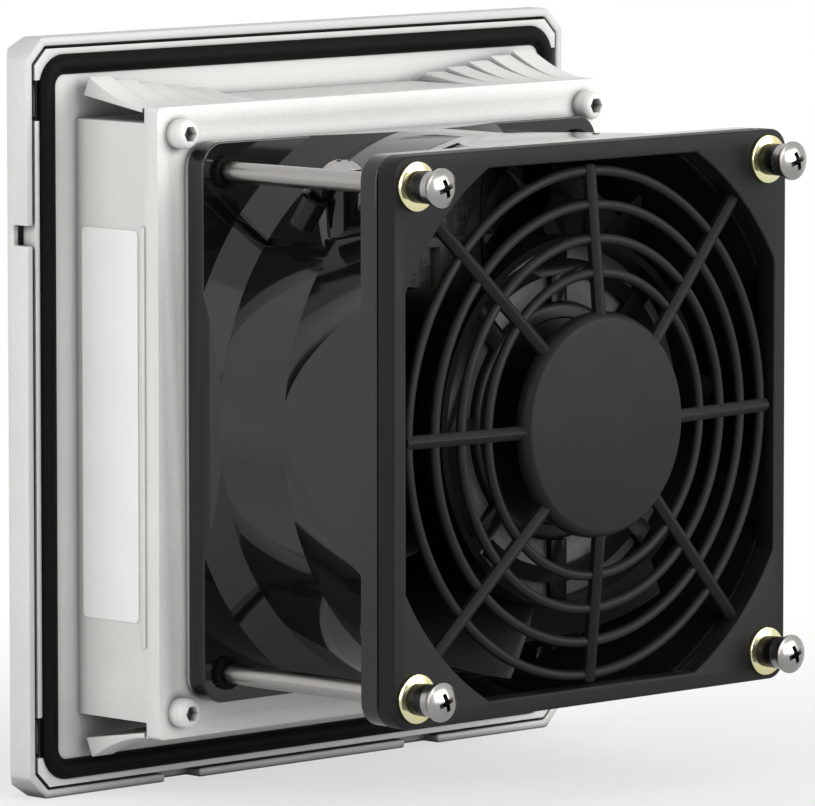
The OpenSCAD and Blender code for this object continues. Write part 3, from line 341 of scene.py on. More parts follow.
def plastic(name, colour, rough, specular=0.5, grain_size=0.35, grain_depth=0.02, grain_bump=0.5,
            contrast=0.04, rough_spread=0.06, wear=0.25, worn=None, dust=0.0, speck=0.0, crevice_shade=0.0,
            gap_shade=0.0, face_shade_half=0.0, rear_shade=0.0, front_shade_to=0.0, rib_tilts=()):
    """Moulded plastic: grain in the bump, cloudy colour, rubbed edges and a little dust.

    speck is the strength of fine dark specks. The corner and gap amounts set painted shade in concave
    corners and painted shade lines in narrow gaps. The face half paints the cover's rear face nearly black
    out to that distance as deep shade, the rear amount paints shade on faces that look back or up, and the
    front depth paints shade on what lies in front of it. rib_tilts slants a painted shade band and two
    painted highlight lines on the flare.
    """
    material, tree, where = new_material(name, {"Specular IOR Level": specular})
    grain = place(tree, "grain", where, grain_size=grain_size)
    rubbed = place(tree, "wear", where, radius=RUBBED_RADIUS, amount=wear)["Mask"]
    low, high = tinted(colour, 1.0 - contrast), tinted(colour, 1.0 + contrast)
    body = blend_colour(tree, grain["Cloud"], low, high)

    def layer(mask, factor):
        """Tints the colour where a mask is set."""
        nonlocal body
        body = blend_colour(tree, mask, body, tinted(colour, factor))

    layer(times(tree, grain["Grain"], 0.35), 1.0 - 2 * contrast)
    if speck:
        layer(remap(tree, noise(tree, where, SPECK_SCALE, 1.0), 0.3, 0.7, 0.0, speck), 0.2)
    body = blend_colour(tree, rubbed, body, tinted(worn) if worn else tinted(colour, 1.25))
    # painted shade: concave corners and narrow pockets are darkened where shade would fall
    if crevice_shade:
        layer(place(tree, "crevice_shade", where, amount=crevice_shade, deep=0.92)["Mask"], 0.06)
    # painted shade: dark lines in the narrow gaps between parts, from a short occlusion reach
    if gap_shade:
        layer(place(tree, "crevice_shade", where, reach=GAP_REACH, amount=gap_shade)["Mask"], 0.03)
    # painted shade: the cover's rear face inside its rim is made nearly black, as if in deep shadow
    if face_shade_half:
        layer(cover_face(tree, where, face_shade_half), 0.01)
    if rear_shade:
        layer(times(tree, turned_back(tree), rear_shade), 0.1)
    # painted shade: all that lies in front of this depth, the flange face among it, is darkened as if
    # shaded by the housing
    if front_shade_to:
        layer(remap(tree, split(tree, where)["Y"], front_shade_to + FRONT_SHADE_FADE, front_shade_to, 0.0, FRONT_SHADE_SHARE), 0.1)
    # painted shade on the band and painted highlights on its two lines
    if rib_tilts:
        band, lines = painted_rib_edges(tree, where, rib_tilts)
        layer(band, 0.3)
        for line in lines:
            layer(line, 4.0)
    if dust:
        body = blend_colour(tree, place(tree, "dust", where, amount=dust)["Mask"], body, DUST_GREY)
    spread = remap(tree, grain["Cloud"], 0.0, 1.0, rough - rough_spread, rough + rough_spread)
    gloss = math_node(tree, "SUBTRACT", spread, times(tree, rubbed, 0.12))
    return dressed(material, body, gloss, grain["Height"], grain_bump, grain_depth)


def metal(name, colour, rough, stretch=(1.0, 1.0, 1.0), scale=900.0, depth=0.004, dark=0.75, wear=0.3,
          pocket_shade=0.0):
    """Metal with drawn or rolled streaks, brighter rubbed edges and painted shade in its recesses."""
    material, tree, where = new_material(name, {"Metallic": 1.0})
    lines = place(tree, "brushed", where, stretch=stretch, scale=scale)
    rubbed = place(tree, "wear", where, radius=0.0002, amount=wear)["Mask"]
    body = blend_colour(tree, lines["Streak"], tinted(colour, dark), tinted(colour))
    body = blend_colour(tree, rubbed, body, tinted(colour, 1.2))
    # painted shade: recesses such as cross recesses are made nearly black
    if pocket_shade:
        recess = place(tree, "crevice_shade", where, reach=0.001, amount=pocket_shade, deep=pocket_shade)["Mask"]
        body = blend_colour(tree, recess, body, tinted(colour, 0.02))
    gloss = remap(tree, lines["Streak"], 0.0, 1.0, rough + 0.06, rough - 0.03)
    return dressed(material, body, gloss, lines["Height"], 0.4, depth)


def make_fleece():
    """Matt white fleece with painted shade in the gaps between its fibres, and greyer in loose clumps."""
    material, tree, where = new_material("filter_fleece", {"Specular IOR Level": 0.2, "Sheen Weight": 0.3})
    fibres = place(tree, "fibres", where, fibre_size=0.55)
    # painted shade: the gaps between fibres are made much darker than the fibres
    body = blend_colour(tree, fibres["Gap"], (0.80, 0.80, 0.78, 1.0), (0.30, 0.30, 0.29, 1.0))
    body = blend_colour(tree, times(tree, fibres["Clump"], 0.25), body, (0.55, 0.55, 0.53, 1.0))
    return dressed(material, body, 0.95, fibres["Height"], 0.9, 0.35)


def make_seal_foam():
    """Black foamed seal with a slightly shinier skin in its pores, and painted shade that makes the
    pinholes a little darker.
    """
    material, tree, where = new_material("seal_foam", {"Specular IOR Level": 0.06})
    foam = place(tree, "foam", where, pore_size=0.55)
    # painted shade: the pinholes are a little darker than the skin around them
    body = blend_colour(tree, foam["Pore"], (0.002, 0.002, 0.002, 1.0), (0.0045, 0.0045, 0.004, 1.0))
    gloss = remap(tree, foam["Pore"], 0.0, 1.0, 0.85, 0.6)
    return dressed(material, body, gloss, foam["Height"], 0.5, 0.06)


def make_label():
    """Glossy white film with faint mottling."""
    material, tree, where = new_material("label_white", {"Coat Weight": 0.35, "Coat Roughness": 0.08})
    grain = place(tree, "grain", where, grain_size=0.6, cloud_size=9.0)
    body = blend_colour(tree, grain["Cloud"], (0.83, 0.83, 0.83, 1.0), (0.86, 0.86, 0.86, 1.0))
    gloss = remap(tree, grain["Grain"], 0.0, 1.0, 0.32, 0.4)
    return dressed(material, body, gloss, grain["Height"], 0.15, 0.01)


def make_yellow_zinc():
    """Yellow passivated zinc with a faint drift to green and rose."""
    material, tree, where = new_material("zinc_yellow", {"Metallic": 1.0})
    drift = noise(tree, where, 240.0, 2.0)
    yellow, green, rose = (0.80, 0.73, 0.40, 1.0), (0.75, 0.74, 0.46, 1.0), (0.80, 0.66, 0.42, 1.0)
    body = blend_colour(tree, remap(tree, drift, 0.4, 0.6), yellow, green)
    body = blend_colour(tree, remap(tree, drift, 0.6, 0.75), body, rose)
    lines = place(tree, "brushed", where, stretch=(1.0, 0.2, 1.0), scale=1500.0)
    gloss = remap(tree, lines["Streak"], 0.0, 1.0, 0.16, 0.08)
    return dressed(material, body, gloss, lines["Height"], 0.2, 0.002)


def make_laminations():
    """Stack of stamped sheets, seen as fine lines across the depth."""
    material, tree, where = new_material("laminations", {"Metallic": 1.0})
    sheets = {"Vector": where, "Scale": 320.0, "Distortion": 0.3}
    wave = add(tree, "ShaderNodeTexWave", sheets, wave_type="BANDS", bands_direction="Y").outputs["Fac"]
    lines = place(tree, "brushed", where, stretch=(1.0, 0.1, 1.0), scale=800.0)
    body = blend_colour(tree, wave, (0.20, 0.20, 0.21, 1.0), (0.46, 0.46, 0.47, 1.0))
    return dressed(material, body, remap(tree, lines["Streak"], 0.0, 1.0, 0.5, 0.35), wave, 0.6, 0.03)


LIGHT_MOULDING = dict(contrast=0.035, grain_size=0.3, speck=0.13, gap_shade=0.8)
PLASTICS = {
    "cover_plastic": dict(
        colour=(0.71, 0.718, 0.70), rough=0.42, wear=0.1, crevice_shade=0.14, face_shade_half=0.0527, rear_shade=0.3,
        **LIGHT_MOULDING,
    ),
    "housing_plastic": dict(
        colour=(0.735, 0.745, 0.713), rough=0.45, wear=0.08, crevice_shade=0.18, front_shade_to=0.0006, **LIGHT_MOULDING
    ),
    "fan_black": dict(
        colour=(0.0062, 0.0062, 0.0067), rough=0.06, grain_size=0.5, grain_depth=0.002, grain_bump=0.15,
        wear=0.5, worn=(0.04, 0.04, 0.042), contrast=0.15, rough_spread=0.02, rib_tilts=(38.7, 41.1),
    ),
    "guard_black": dict(
        colour=(0.0058, 0.0058, 0.0061), rough=0.5, specular=0.17, grain_size=0.4, grain_depth=0.012,
        wear=0.4, worn=(0.045, 0.045, 0.047), contrast=0.12, dust=0.02,
    ),
    "impeller_black": dict(
        colour=(0.004, 0.004, 0.0044), rough=0.38, specular=0.22, grain_size=0.5, grain_depth=0.008,
        wear=0.3, worn=(0.03, 0.03, 0.032), contrast=0.15,
    ),
    "insulator": dict(colour=(0.68, 0.66, 0.58), rough=0.4),
}
METALS = {
    "steel": dict(
        colour=(0.355, 0.345, 0.33), rough=0.22, stretch=(1.0, 0.03, 1.0), scale=4200.0, depth=0.0006,
        dark=0.92, wear=0.1, pocket_shade=1.0,
    ),
    "bright_steel": dict(
        colour=(0.38, 0.37, 0.36), rough=0.22, scale=1100.0, dark=0.9, wear=0.15, pocket_shade=1.0
    ),
    "brass": dict(colour=(0.72, 0.55, 0.27), rough=0.3),
    "copper_enamel": dict(colour=(0.55, 0.22, 0.09), rough=0.28, stretch=(0.2, 1.0, 1.0)),
    "black_oxide": dict(colour=(0.035, 0.035, 0.037), rough=0.26, depth=0.002),
    "light_metal": dict(colour=(0.105, 0.105, 0.103), rough=0.68, dark=0.92, wear=0.0),
}
MATERIALS = {
    "filter_fleece": make_fleece(),
    "seal_foam": make_seal_foam(),
    "zinc_yellow": make_yellow_zinc(),
    "laminations": make_laminations(),
    "label_white": make_label(),
    **{name: plastic(name, **look) for name, look in PLASTICS.items()},
    **{name: metal(name, **look) for name, look in METALS.items()},
}


# ---- Mesh helpers

SAME_POINT = 2e-6


def linked(name, data):
    """A new object in the scene."""
    thing = bpy.data.objects.new(name, data)
    scene.collection.objects.link(thing)
    return thing


def result_of(host):
    """The mesh that an object's modifiers make. The object itself goes."""
    graph = bpy.context.evaluated_depsgraph_get()
    result = bpy.data.meshes.new_from_object(host.evaluated_get(graph), depsgraph=graph)
    host.modifiers.clear()
    bpy.data.objects.remove(host)
    return result


def new_piece(name, mesh, slot, body, *replaced, sharp=SMOOTH_DEGREES):
    """Puts a finished mesh into the scene with its material, body and the CAD nodes that it stands for."""
    mesh.shade_smooth()
    mesh.set_sharp_from_angle(angle=math.radians(sharp))
    piece = linked(name, mesh)
    mesh.materials.clear()
    mesh.materials.append(MATERIALS[slot])
    mesh.polygons.foreach_set("material_index", [0] * len(mesh.polygons))
    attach(piece, body)
    if replaced:
        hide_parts(*replaced)
    return piece


def applied(mesh, *modifiers):
    """Runs modifiers on a mesh, given as (type, settings), and returns the result."""
    host = linked("host", mesh)
    for kind, settings in modifiers:
        modifier = host.modifiers.new(kind.lower(), kind)
        for key, value in settings.items():
            setattr(modifier, key, value)
    return result_of(host)


def bevel(width, segments=2, degrees=30):
    """A modifier that rounds the edges where faces turn by more than an angle."""
    limit = math.radians(degrees)
    return "BEVEL", {
        "width": width * MM, "segments": segments, "limit_method": "ANGLE", "angle_limit": limit
    }


def as_bmesh(*meshes):
    bm = bmesh.new()
    for mesh in meshes:
        bm.from_mesh(mesh)
    return bm


def as_mesh(bm, name):
    mesh = bpy.data.meshes.new(name)
    bm.to_mesh(mesh)
    bm.free()
    return mesh


def joined(name, *meshes):
    """Several meshes in one, as they are."""
    return as_mesh(as_bmesh(*meshes), name)


def closed_mesh(bm, name):
    """Ends a bmesh: doubles merged, faces turned outwards."""
    bmesh.ops.remove_doubles(bm, verts=bm.verts, dist=1e-7)
    bmesh.ops.recalc_face_normals(bm, faces=bm.faces)
    return as_mesh(bm, name)


def cleaned(mesh, flat=0.15, slivers=True):
    """Joins the doubles, slivers and flat pieces of a mesh, so that the shading stays calm."""
    bm = as_bmesh(mesh)
    bmesh.ops.remove_doubles(bm, verts=bm.verts, dist=SAME_POINT)
    if slivers:
        bmesh.ops.dissolve_degenerate(bm, edges=bm.edges, dist=SAME_POINT)
    bmesh.ops.dissolve_limit(bm, angle_limit=math.radians(flat), verts=bm.verts, edges=bm.edges)
    return as_mesh(bm, mesh.name)


def softened(node, slot, body, width):
    """The CAD node's shape with rounded edges."""
    mesh = cleaned(frame["nodes"][node].data, 0.8, slivers=False)
    new_piece("soft_" + node, applied(mesh, bevel(width, degrees=28)), slot, body, node)


def carved(mesh, *cuts):
    """Joins, cuts or intersects a closed mesh with others, given as (operation, mesh)."""
    tools = [linked("tool", cutter) for _, cutter in cuts]
    steps = [
        ("BOOLEAN", {"operation": operation, "object": tool, "solver": "MANIFOLD"})
        for (operation, _), tool in zip(cuts, tools)
    ]
    result = applied(mesh, *steps)
    for tool in tools:
        bpy.data.objects.remove(tool)
    return result


def placed(mesh, matrix):
    """Moves a mesh by a matrix whose shift is in millimetres."""
    moved = matrix.copy()
    moved.translation = matrix.translation * MM
    mesh.transform(moved)
    return mesh


def turned_by(degrees, axis):
    return Matrix.Rotation(math.radians(degrees), 4, axis)


def standing(mesh, lift=0.0):
    """Stands a shape drawn along Y on the earth screw's boss."""
    return placed(mesh, Matrix.Translation((EARTH_X, EARTH_Y, EARTH_Z + lift)) @ turned_by(90, "X"))


# ---- Sizes in millimetres, as the frame has them

FAN_HALF, FAN_FRONT, FAN_REAR, FAN_FLANGE, FAN_CORNER = 40.0, 17.8, 55.8, 3.2, 3.7
HOLE_AT, HOLE_R = 35.75, 2.15
THROAT_R, BARREL_R, MOUTH_R, FLARE_R, MOUTH_HALF = 38.2, 40.24, 42.4, 44.1, 38.4
THROAT_FRONT, THROAT_REAR = 24.6, 37.6
EARTH_X, EARTH_Y, EARTH_Z, EARTH_BORE, LUG_THICK = 28.0, 36.8, 35.5, 1.55, 0.7
HUB_R, HUB_IN_R, HUB_FRONT, HUB_REAR, CUP_REAR = 17.07, 15.67, 23.6, 52.6, 51.4
BLADE_FRONT, BLADE_DEPTH, BLADE_TIP, BLADE_HALF = 25.1, 23.0, 37.3, 0.75
GUARD_REAR, GUARD_CORNER, GUARD_OPEN, GUARD_CUT = 59.2, 3.0, 37.5, 43.0
DISC_R, DISC_REAR = 16.1, 61.8
SPOKE_R, SPOKE_DEPTH, SPOKE_FALL = 1.0, 60.2, 2.1
RING_IN, RING_OUT, RING_T = 21.5, 35.9, 1.5
WASHER_AT, SLEEVE_AT, SPLIT_AT, HEAD_AT = 59.2, 59.8, 62.3, 63.9
ROD_R, ROD_BORE, HEAD_R = 1.5, 1.55, 2.8
CROSS_WIDTH, CROSS_SLOT = 2.7, 0.72
HOUSING_HALF, HOUSING_REAR = 45.0, 17.0
CORNER_SCREW_AT, BEAD_AT, BEAD_CORNER = 41.25, 50.55, 4.5
LOUVRE_HALF, COVER_FRONT = 42.95, -8.0


# ---- Solid shapes, drawn in millimetres

SQUARE_CORNERS = ((1, 1, 0), (-1, 1, 90), (-1, -1, 180), (1, -1, 270))


def arc(centre, radius, start, end, steps):
    """Points of an arc in a plane, its angles in degrees."""
    turns = [math.radians(start + (end - start) * i / steps) for i in range(steps + 1)]
    return [(centre[0] + radius * math.cos(t), centre[1] + radius * math.sin(t)) for t in turns]


def circle(radius, points):
    """Points of a full circle, the first not repeated."""
    return arc((0, 0), radius, 0, 360, points)[:-1]


def soft_square(half, radius, steps=16):
    """Outline of a square with round corners."""
    inner = half - radius
    return [p for sx, sz, start in SQUARE_CORNERS
            for p in arc((sx * inner, sz * inner), radius, start, start + 90, steps)]


def arc_cut_square(half, reach, steps=32):
    """Outline of a square whose corners are cut by one circle."""
    start = math.degrees(math.acos(half / reach))
    return [p for turn in (0, 90, 180, 270)
            for p in arc((0, 0), reach, turn + start, turn + 90 - start, steps)]


def loft(name, rings):
    """Skin over closed rings of 3-D points with as many points each, capped at both ends."""
    bm = bmesh.new()
    rows = [[bm.verts.new(Vector(p) * MM) for p in ring] for ring in rings]
    count = len(rows[0])
    for low, high in zip(rows, rows[1:]):
        for i in range(count):
            j = (i + 1) % count
            bm.faces.new((low[i], low[j], high[j], high[i]))
    bm.faces.new(rows[0])
    bm.faces.new(rows[-1])
    return closed_mesh(bm, name)


def slab(name, outline, levels):
    """Plate along Y: outline(inset) gives an X-Z outline for each (inset, depth) level."""
    return loft(name, [[(x, depth, z) for x, z in outline(inset)] for inset, depth in levels])


def round_rims(front, rear, radius, steps=4, inwards=1.0):
    """(inset, depth) levels of a side whose two rims are rounded."""
    turns = [math.pi / 2 * i / steps for i in range(steps + 1)]
    low = [(inwards * radius * (1 - math.sin(t)), front + radius * (1 - math.cos(t))) for t in turns]
    high = [(inwards * radius * (1 - math.cos(t)), rear - radius * (1 - math.sin(t))) for t in turns]
    return low + high


def lathe(name, profile, segments=96, closed=False):
    """Turns (radius, depth) points about the Y axis. A closed profile goes back to its first point."""
    bm = bmesh.new()
    rows = []
    for radius, depth in profile:
        if radius < 1e-6:
            rows.append([bm.verts.new(Vector((0, depth, 0)) * MM)] * segments)
        else:
            rows.append([bm.verts.new(Vector((x, depth, z)) * MM) for x, z in circle(radius, segments)])
    for low, high in list(zip(rows, rows[1:])) + ([(rows[-1], rows[0])] if closed else []):
        for i in range(segments):
            j = (i + 1) % segments
            corners = list(dict.fromkeys((low[i], low[j], high[j], high[i])))
            if len(corners) > 2:
                bm.faces.new(corners)
    return closed_mesh(bm, name)


def bored(front, rear, radius, segments):
    """Plain cutter for a bore along Y."""
    return lathe("bore", [(0, front), (radius, front), (radius, rear), (0, rear)], segments)


def block(name, low, high):
    """Square-edged cutter or blank between two corners."""
    bm = bmesh.new()
    bmesh.ops.create_cube(bm, size=1.0)
    middle = (Vector(low) + Vector(high)) / 2
    for v in bm.verts:
        v.co = Vector([m + c * (h - l) for m, c, l, h in zip(middle, v.co, low, high)]) * MM
    return closed_mesh(bm, name)


# ---- Geometry trees


def geo(tree, kind, inputs=None, **settings):
    """First output of a new geometry node."""
    return add(tree, "GeometryNode" + kind, inputs, **settings).outputs[0]


def combined(tree, **parts):
    """A vector put together from its parts."""
    return add(tree, "ShaderNodeCombineXYZ", parts).outputs[0]


def shape_tree(name, **values):
    """An empty geometry tree with named inputs between its starting mesh and its finish."""
    inputs = {"Shape": "NodeSocketGeometry", **titled(values), "Finish": "NodeSocketMaterial"}
    tree, given, out = node_group("GeometryNodeTree", name, inputs, {"Shape": "NodeSocketGeometry"})
    return tree, given, out[0]


def copies(tree, points, shape, **more):
    """The shape at each point."""
    return geo(tree, "InstanceOnPoints", {"Points": points, "Instance": shape, **titled(more)})


def stack_of_points(tree, count):
    """Points that all lie at the origin."""
    return geo(tree, "MeshLine", {"Count": count, "Offset": (0.0, 0.0, 0.0)}, mode="OFFSET")


def end_tree(tree, geometry, given, out):
    """Last steps of each tree: copies become real and get their finish."""
    real = geo(tree, "RealizeInstances", {0: geometry})
    tree.links.new(geo(tree, "SetMaterial", {"Geometry": real, "Material": given["Finish"]}), out)
    return tree


def make_corner_copies():
    """Copies of the shape at the four corners of a square."""
    tree, given, out = shape_tree("corner_copies", spacing=0.0715)
    side = given["Spacing"]
    grid = geo(tree, "MeshGrid", {"Size X": side, "Size Y": side, "Vertices X": 2, "Vertices Y": 2})
    upright = geo(tree, "Transform", {"Geometry": grid, "Rotation": UPRIGHT})
    return end_tree(tree, copies(tree, upright, given["Shape"]), given, out)


def make_row_copies():
    """Copies of the shape in a straight row."""
    tree, given, out = shape_tree("row_copies", count=2, start=(0.0, 0.0, 0.0), step=(0.0, 0.0, 0.01))
    course = {"Count": given["Count"], "Start Location": given["Start"], "Offset": given["Step"]}
    line = geo(tree, "MeshLine", course, mode="OFFSET")
    return end_tree(tree, copies(tree, line, given["Shape"]), given, out)


def make_turned_copies():
    """Copies of the shape turned evenly about the fan's axis."""
    tree, given, out = shape_tree("turned_copies", count=4, first_turn=0.0)
    share = math_node(tree, "DIVIDE", math.tau, given["Count"])
    turn = math_node(tree, "ADD", times(tree, geo(tree, "InputIndex"), share), given["First Turn"])
    rotation = add(tree, "FunctionNodeEulerToRotation", {0: combined(tree, Y=turn)}).outputs[0]
    points = stack_of_points(tree, given["Count"])
    return end_tree(tree, copies(tree, points, given["Shape"], rotation=rotation), given, out)


def make_ring_cage():
    """Round wires of growing radius, each a little nearer to the frame than the one inside it."""
    tree, given, out = shape_tree(
        "ring_cage", count=4, inner_radius=0.0215, outer_radius=0.0359, depth=0.059, fall=0.0014,
        thickness=0.0015,
    )
    inner = given["Inner Radius"]
    last = math_node(tree, "SUBTRACT", given["Count"], 1.0)
    share = math_node(tree, "DIVIDE", geo(tree, "InputIndex"), last)
    growth = times(tree, share, math_node(tree, "SUBTRACT", given["Outer Radius"], inner))
    radius = math_node(tree, "ADD", inner, growth)
    depth = math_node(tree, "SUBTRACT", given["Depth"], times(tree, share, given["Fall"]))
    points = stack_of_points(tree, given["Count"])
    stations = geo(tree, "SetPosition", {"Geometry": points, "Position": combined(tree, Y=depth)})
    unit = geo(tree, "CurvePrimitiveCircle", {"Resolution": 160, "Radius": 1.0})
    size = combined(tree, X=radius, Y=radius, Z=radius)
    rings = copies(tree, stations, unit, rotation=UPRIGHT, scale=size)
    half = math_node(tree, "DIVIDE", given["Thickness"], 2.0)
    wire = geo(tree, "CurvePrimitiveCircle", {"Resolution": 20, "Radius": half})
    paths = geo(tree, "RealizeInstances", {0: rings})
    return end_tree(tree, geo(tree, "CurveToMesh", {"Curve": paths, "Profile Curve": wire}), given, out)


def make_swept_bead():
    """Sweeps the shape, an outline across the bead, round a square path with round corners."""
    tree, given, out = shape_tree("swept_bead", width=0.1, corner_radius=0.003)
    side = given["Width"]
    square = geo(tree, "CurvePrimitiveQuadrilateral", {"Width": side, "Height": side})
    corners = {"Curve": square, "Count": 14, "Radius": given["Corner Radius"]}
    path = geo(tree, "FilletCurve", corners, mode="POLY")
    upright = geo(tree, "Transform", {"Geometry": path, "Rotation": UPRIGHT})
    section = geo(tree, "MeshToCurve", {"Mesh": given["Shape"]})
    swept = geo(tree, "CurveToMesh", {"Curve": upright, "Profile Curve": section})
    return end_tree(tree, swept, given, out)


TREES = {
    "corner_copies": make_corner_copies(),
    "row_copies": make_row_copies(),
    "turned_copies": make_turned_copies(),
    "ring_cage": make_ring_cage(),
    "swept_bead": make_swept_bead(),
}


def grown(name, slot, mesh=None, **values):
    """Runs a geometry tree on a mesh; its inputs are named in words joined by low lines."""
    host = linked("host", mesh or bpy.data.meshes.new("start"))
    modifier = host.modifiers.new(name, "NODES")
    modifier.node_group = TREES[name]
    wanted = {**titled(values), "Finish": MATERIALS[slot]}
    for item in TREES[name].interface.items_tree:
        if item.in_out == "INPUT" and item.name in wanted:
            modifier[item.identifier] = wanted[item.name]
    return result_of(host)


def at_corners(mesh, slot, spacing=2 * HOLE_AT):
    """Copies at the four corners of a square, by default where the long screws are."""
    return grown("corner_copies", slot, mesh, spacing=spacing * MM)


def in_row(mesh, slot, axis, count, first, pitch):
    """Copies along an axis, from the first place on."""
    way = [float(name == axis) for name in "XYZ"]
    start, step = ([place_at * MM * share for share in way] for place_at in (first, pitch))
    return grown("row_copies", slot, mesh, count=count, start=start, step=step)


# ---- Camera, light and floor

FOCAL_PIXELS, PHOTO_WIDTH = 8552.25, 815
LAMPS = (
    ("key", (1.8, -0.15, 0.45), 2.2, 23.0),
    ("front", (-0.6, 1.8, 0.1), 2.2, 78.0),
    ("side", (1.3, 1.7, 0.82), 0.9, 1.2),
    ("top", (0.1, 0.1, 1.5), 2.2, 3.0),
)
WORLD_STRENGTH, FLOOR_HALF = 0.43, 3.0
SHADOW_FADE, MIRROR_FADE = (0.06, 0.2, 0.6, 1.0), (0.22, 0.5, 0.15, 1.0)


def make_camera():
    """Camera at the place and angle that the photo was fitted to."""
    camera = bpy.data.cameras.new("camera")
    camera.sensor_fit = "HORIZONTAL"
    camera.sensor_width = 36.0
    camera.lens = FOCAL_PIXELS / PHOTO_WIDTH * camera.sensor_width
    camera.clip_start = 0.05
    camera.clip_end = 20.0
    right = Vector((-0.708842, 0.705367, -0.000622))
    up = Vector((-0.073421, -0.072907, 0.994633))
    forward = Vector((-0.701536, -0.705083, -0.103468))
    turn = Matrix((right, up, -forward)).transposed().to_4x4()
    scene.camera = linked("camera", camera)
    scene.camera.matrix_world = Matrix.Translation((0.868532, 0.894634, 0.128353)) @ turn


def make_lamp(name, place_at, size, power):
    """Square lamp that looks at the origin."""
    lamp = bpy.data.lights.new(name, "AREA")
    lamp.shape = "RECTANGLE"
    lamp.size = lamp.size_y = size
    lamp.energy = power
    holder = linked(name, lamp)
    holder.location = place_at
    holder.rotation_euler = (-Vector(place_at)).to_track_quat("-Z", "Y").to_euler()


def make_world():
    """Backdrop that is seen and mirrored as white and lights the object less."""
    world = bpy.data.worlds.new("studio")
    world.use_nodes = True
    tree = world.node_tree
    backdrop = tree.nodes["Background"]
    backdrop.inputs["Color"].default_value = WHITE
    path = add(tree, "ShaderNodeLightPath").outputs
    seen = math_node(tree, "MAXIMUM", path["Is Camera Ray"], path["Is Glossy Ray"])
    seen = math_node(tree, "MAXIMUM", seen, path["Is Transmission Ray"])
    tree.links.new(remap(tree, seen, 0.0, 1.0, WORLD_STRENGTH, 1.0), backdrop.inputs["Strength"])
    scene.world = world


def make_floor():
    """Pale floor that keeps the shadow near the object and runs out to white."""
    half, low = FLOOR_HALF, cad_box[0].z
    bm = bmesh.new()
    corners = ((-half, -half), (half, -half), (half, half), (-half, half))
    bm.faces.new([bm.verts.new((x, y, low)) for x, y in corners])
    mesh = as_mesh(bm, "floor")
    floor = linked("floor", mesh)
    material = bpy.data.materials.new("floor_white")
    material.use_nodes = True
    tree = material.node_tree
    tree.nodes.remove(tree.nodes["Principled BSDF"])
    matte = add(tree, "ShaderNodeBsdfDiffuse", {"Color": (0.86, 0.86, 0.86, 1.0)}).outputs[0]
    glow = add(tree, "ShaderNodeEmission", {"Color": WHITE, "Strength": 1.0}).outputs[0]
    path = add(tree, "ShaderNodeLightPath").outputs
    seen = math_node(tree, "MAXIMUM", path["Is Camera Ray"], path["Is Transmission Ray"])
    where = add(tree, "ShaderNodeTexCoord").outputs["Object"]
    ends = {0: where, 1: (0.0, 0.02, low)}
    distance = add(tree, "ShaderNodeVectorMath", ends, operation="DISTANCE").outputs["Value"]
    shown = times(tree, seen, remap(tree, distance, *SHADOW_FADE))
    mirrored = times(tree, path["Is Glossy Ray"], remap(tree, distance, *MIRROR_FADE))
    shares = {0: math_node(tree, "ADD", shown, mirrored), 1: matte, 2: glow}
    mixed = add(tree, "ShaderNodeMixShader", shares).outputs[0]
    tree.links.new(mixed, tree.nodes["Material Output"].inputs["Surface"])
    mesh.materials.append(material)


make_camera()
make_world()
make_floor()
for lamp in LAMPS:
    make_lamp(*lamp)


# ---- CAD nodes that keep their own mesh

SLOTS = {part["node"]: part["material_slot"] for part in frame["record"]["subparts"]}
for node, holder in frame["nodes"].items():
    holder.data.materials.clear()
    holder.data.materials.append(MATERIALS[SLOTS[node]])


# ---- Cover, louvre, housing and seal


def make_louvre():
    """Sloping slats with soft edges, three ribs behind them, trimmed to the cover's opening."""
    reach, front = LOUVRE_HALF, COVER_FRONT
    spaces, drop, thick, back, rib_half = 11, 3.0, 1.5, 4.3, 0.8
    side = [(front, -drop), (front + back, 0.0), (front + back, thick), (front, thick - drop)]
    slat = loft("slat", [[(x, y, z) for y, z in side] for x in (-reach - 1, reach + 1)])
    pitch = 2 * reach / spaces
    slats = in_row(applied(slat, bevel(0.25, 3)), "cover_plastic", "Z", spaces + 1, -reach, pitch)
    rib = block("rib", (-rib_half, front + back / 2, -reach), (rib_half, front + back - 0.1, reach))
    ribs = in_row(applied(rib, bevel(0.2)), "cover_plastic", "X", 3, -reach / 2, reach / 2)
    opening = block("opening", (-reach, front - 1, -reach), (reach, 0, reach))
    mesh = joined("cover_louvre", carved(slats, ("INTERSECT", opening)), ribs)
    new_piece("louvre_slats", mesh, "cover_plastic", "cover", "cover_louvre")


def make_grille():
    """Crossing bars behind the filter mat inside a narrow rim."""
    wide, tall, front, rear, bar, edge, bars = 43.0, 41.5, 5.6, 7.6, 0.7, 1.2, 7
    pitch = 2 * wide / (bars + 1)
    upright = block("upright", (-bar, front, -tall), (bar, rear, tall))
    lying = block("lying", (-wide, front + 0.02, -bar), (wide, rear - 0.02, bar))
    rows = [
        in_row(applied(strip, bevel(0.2)), "housing_plastic", axis, bars, pitch - wide, pitch)
        for strip, axis in ((upright, "X"), (lying, "Z"))
    ]
    hollow = block("hollow", (edge - wide, front - 1, edge - tall), (wide - edge, rear + 1, tall - edge))
    rim = carved(block("rim", (-wide, front, -tall), (wide, rear, tall)), ("DIFFERENCE", hollow))
    mesh = joined("support_grille", *rows, applied(rim, bevel(0.2)))
    new_piece("filter_grille", mesh, "housing_plastic", "housing", "support_grille")


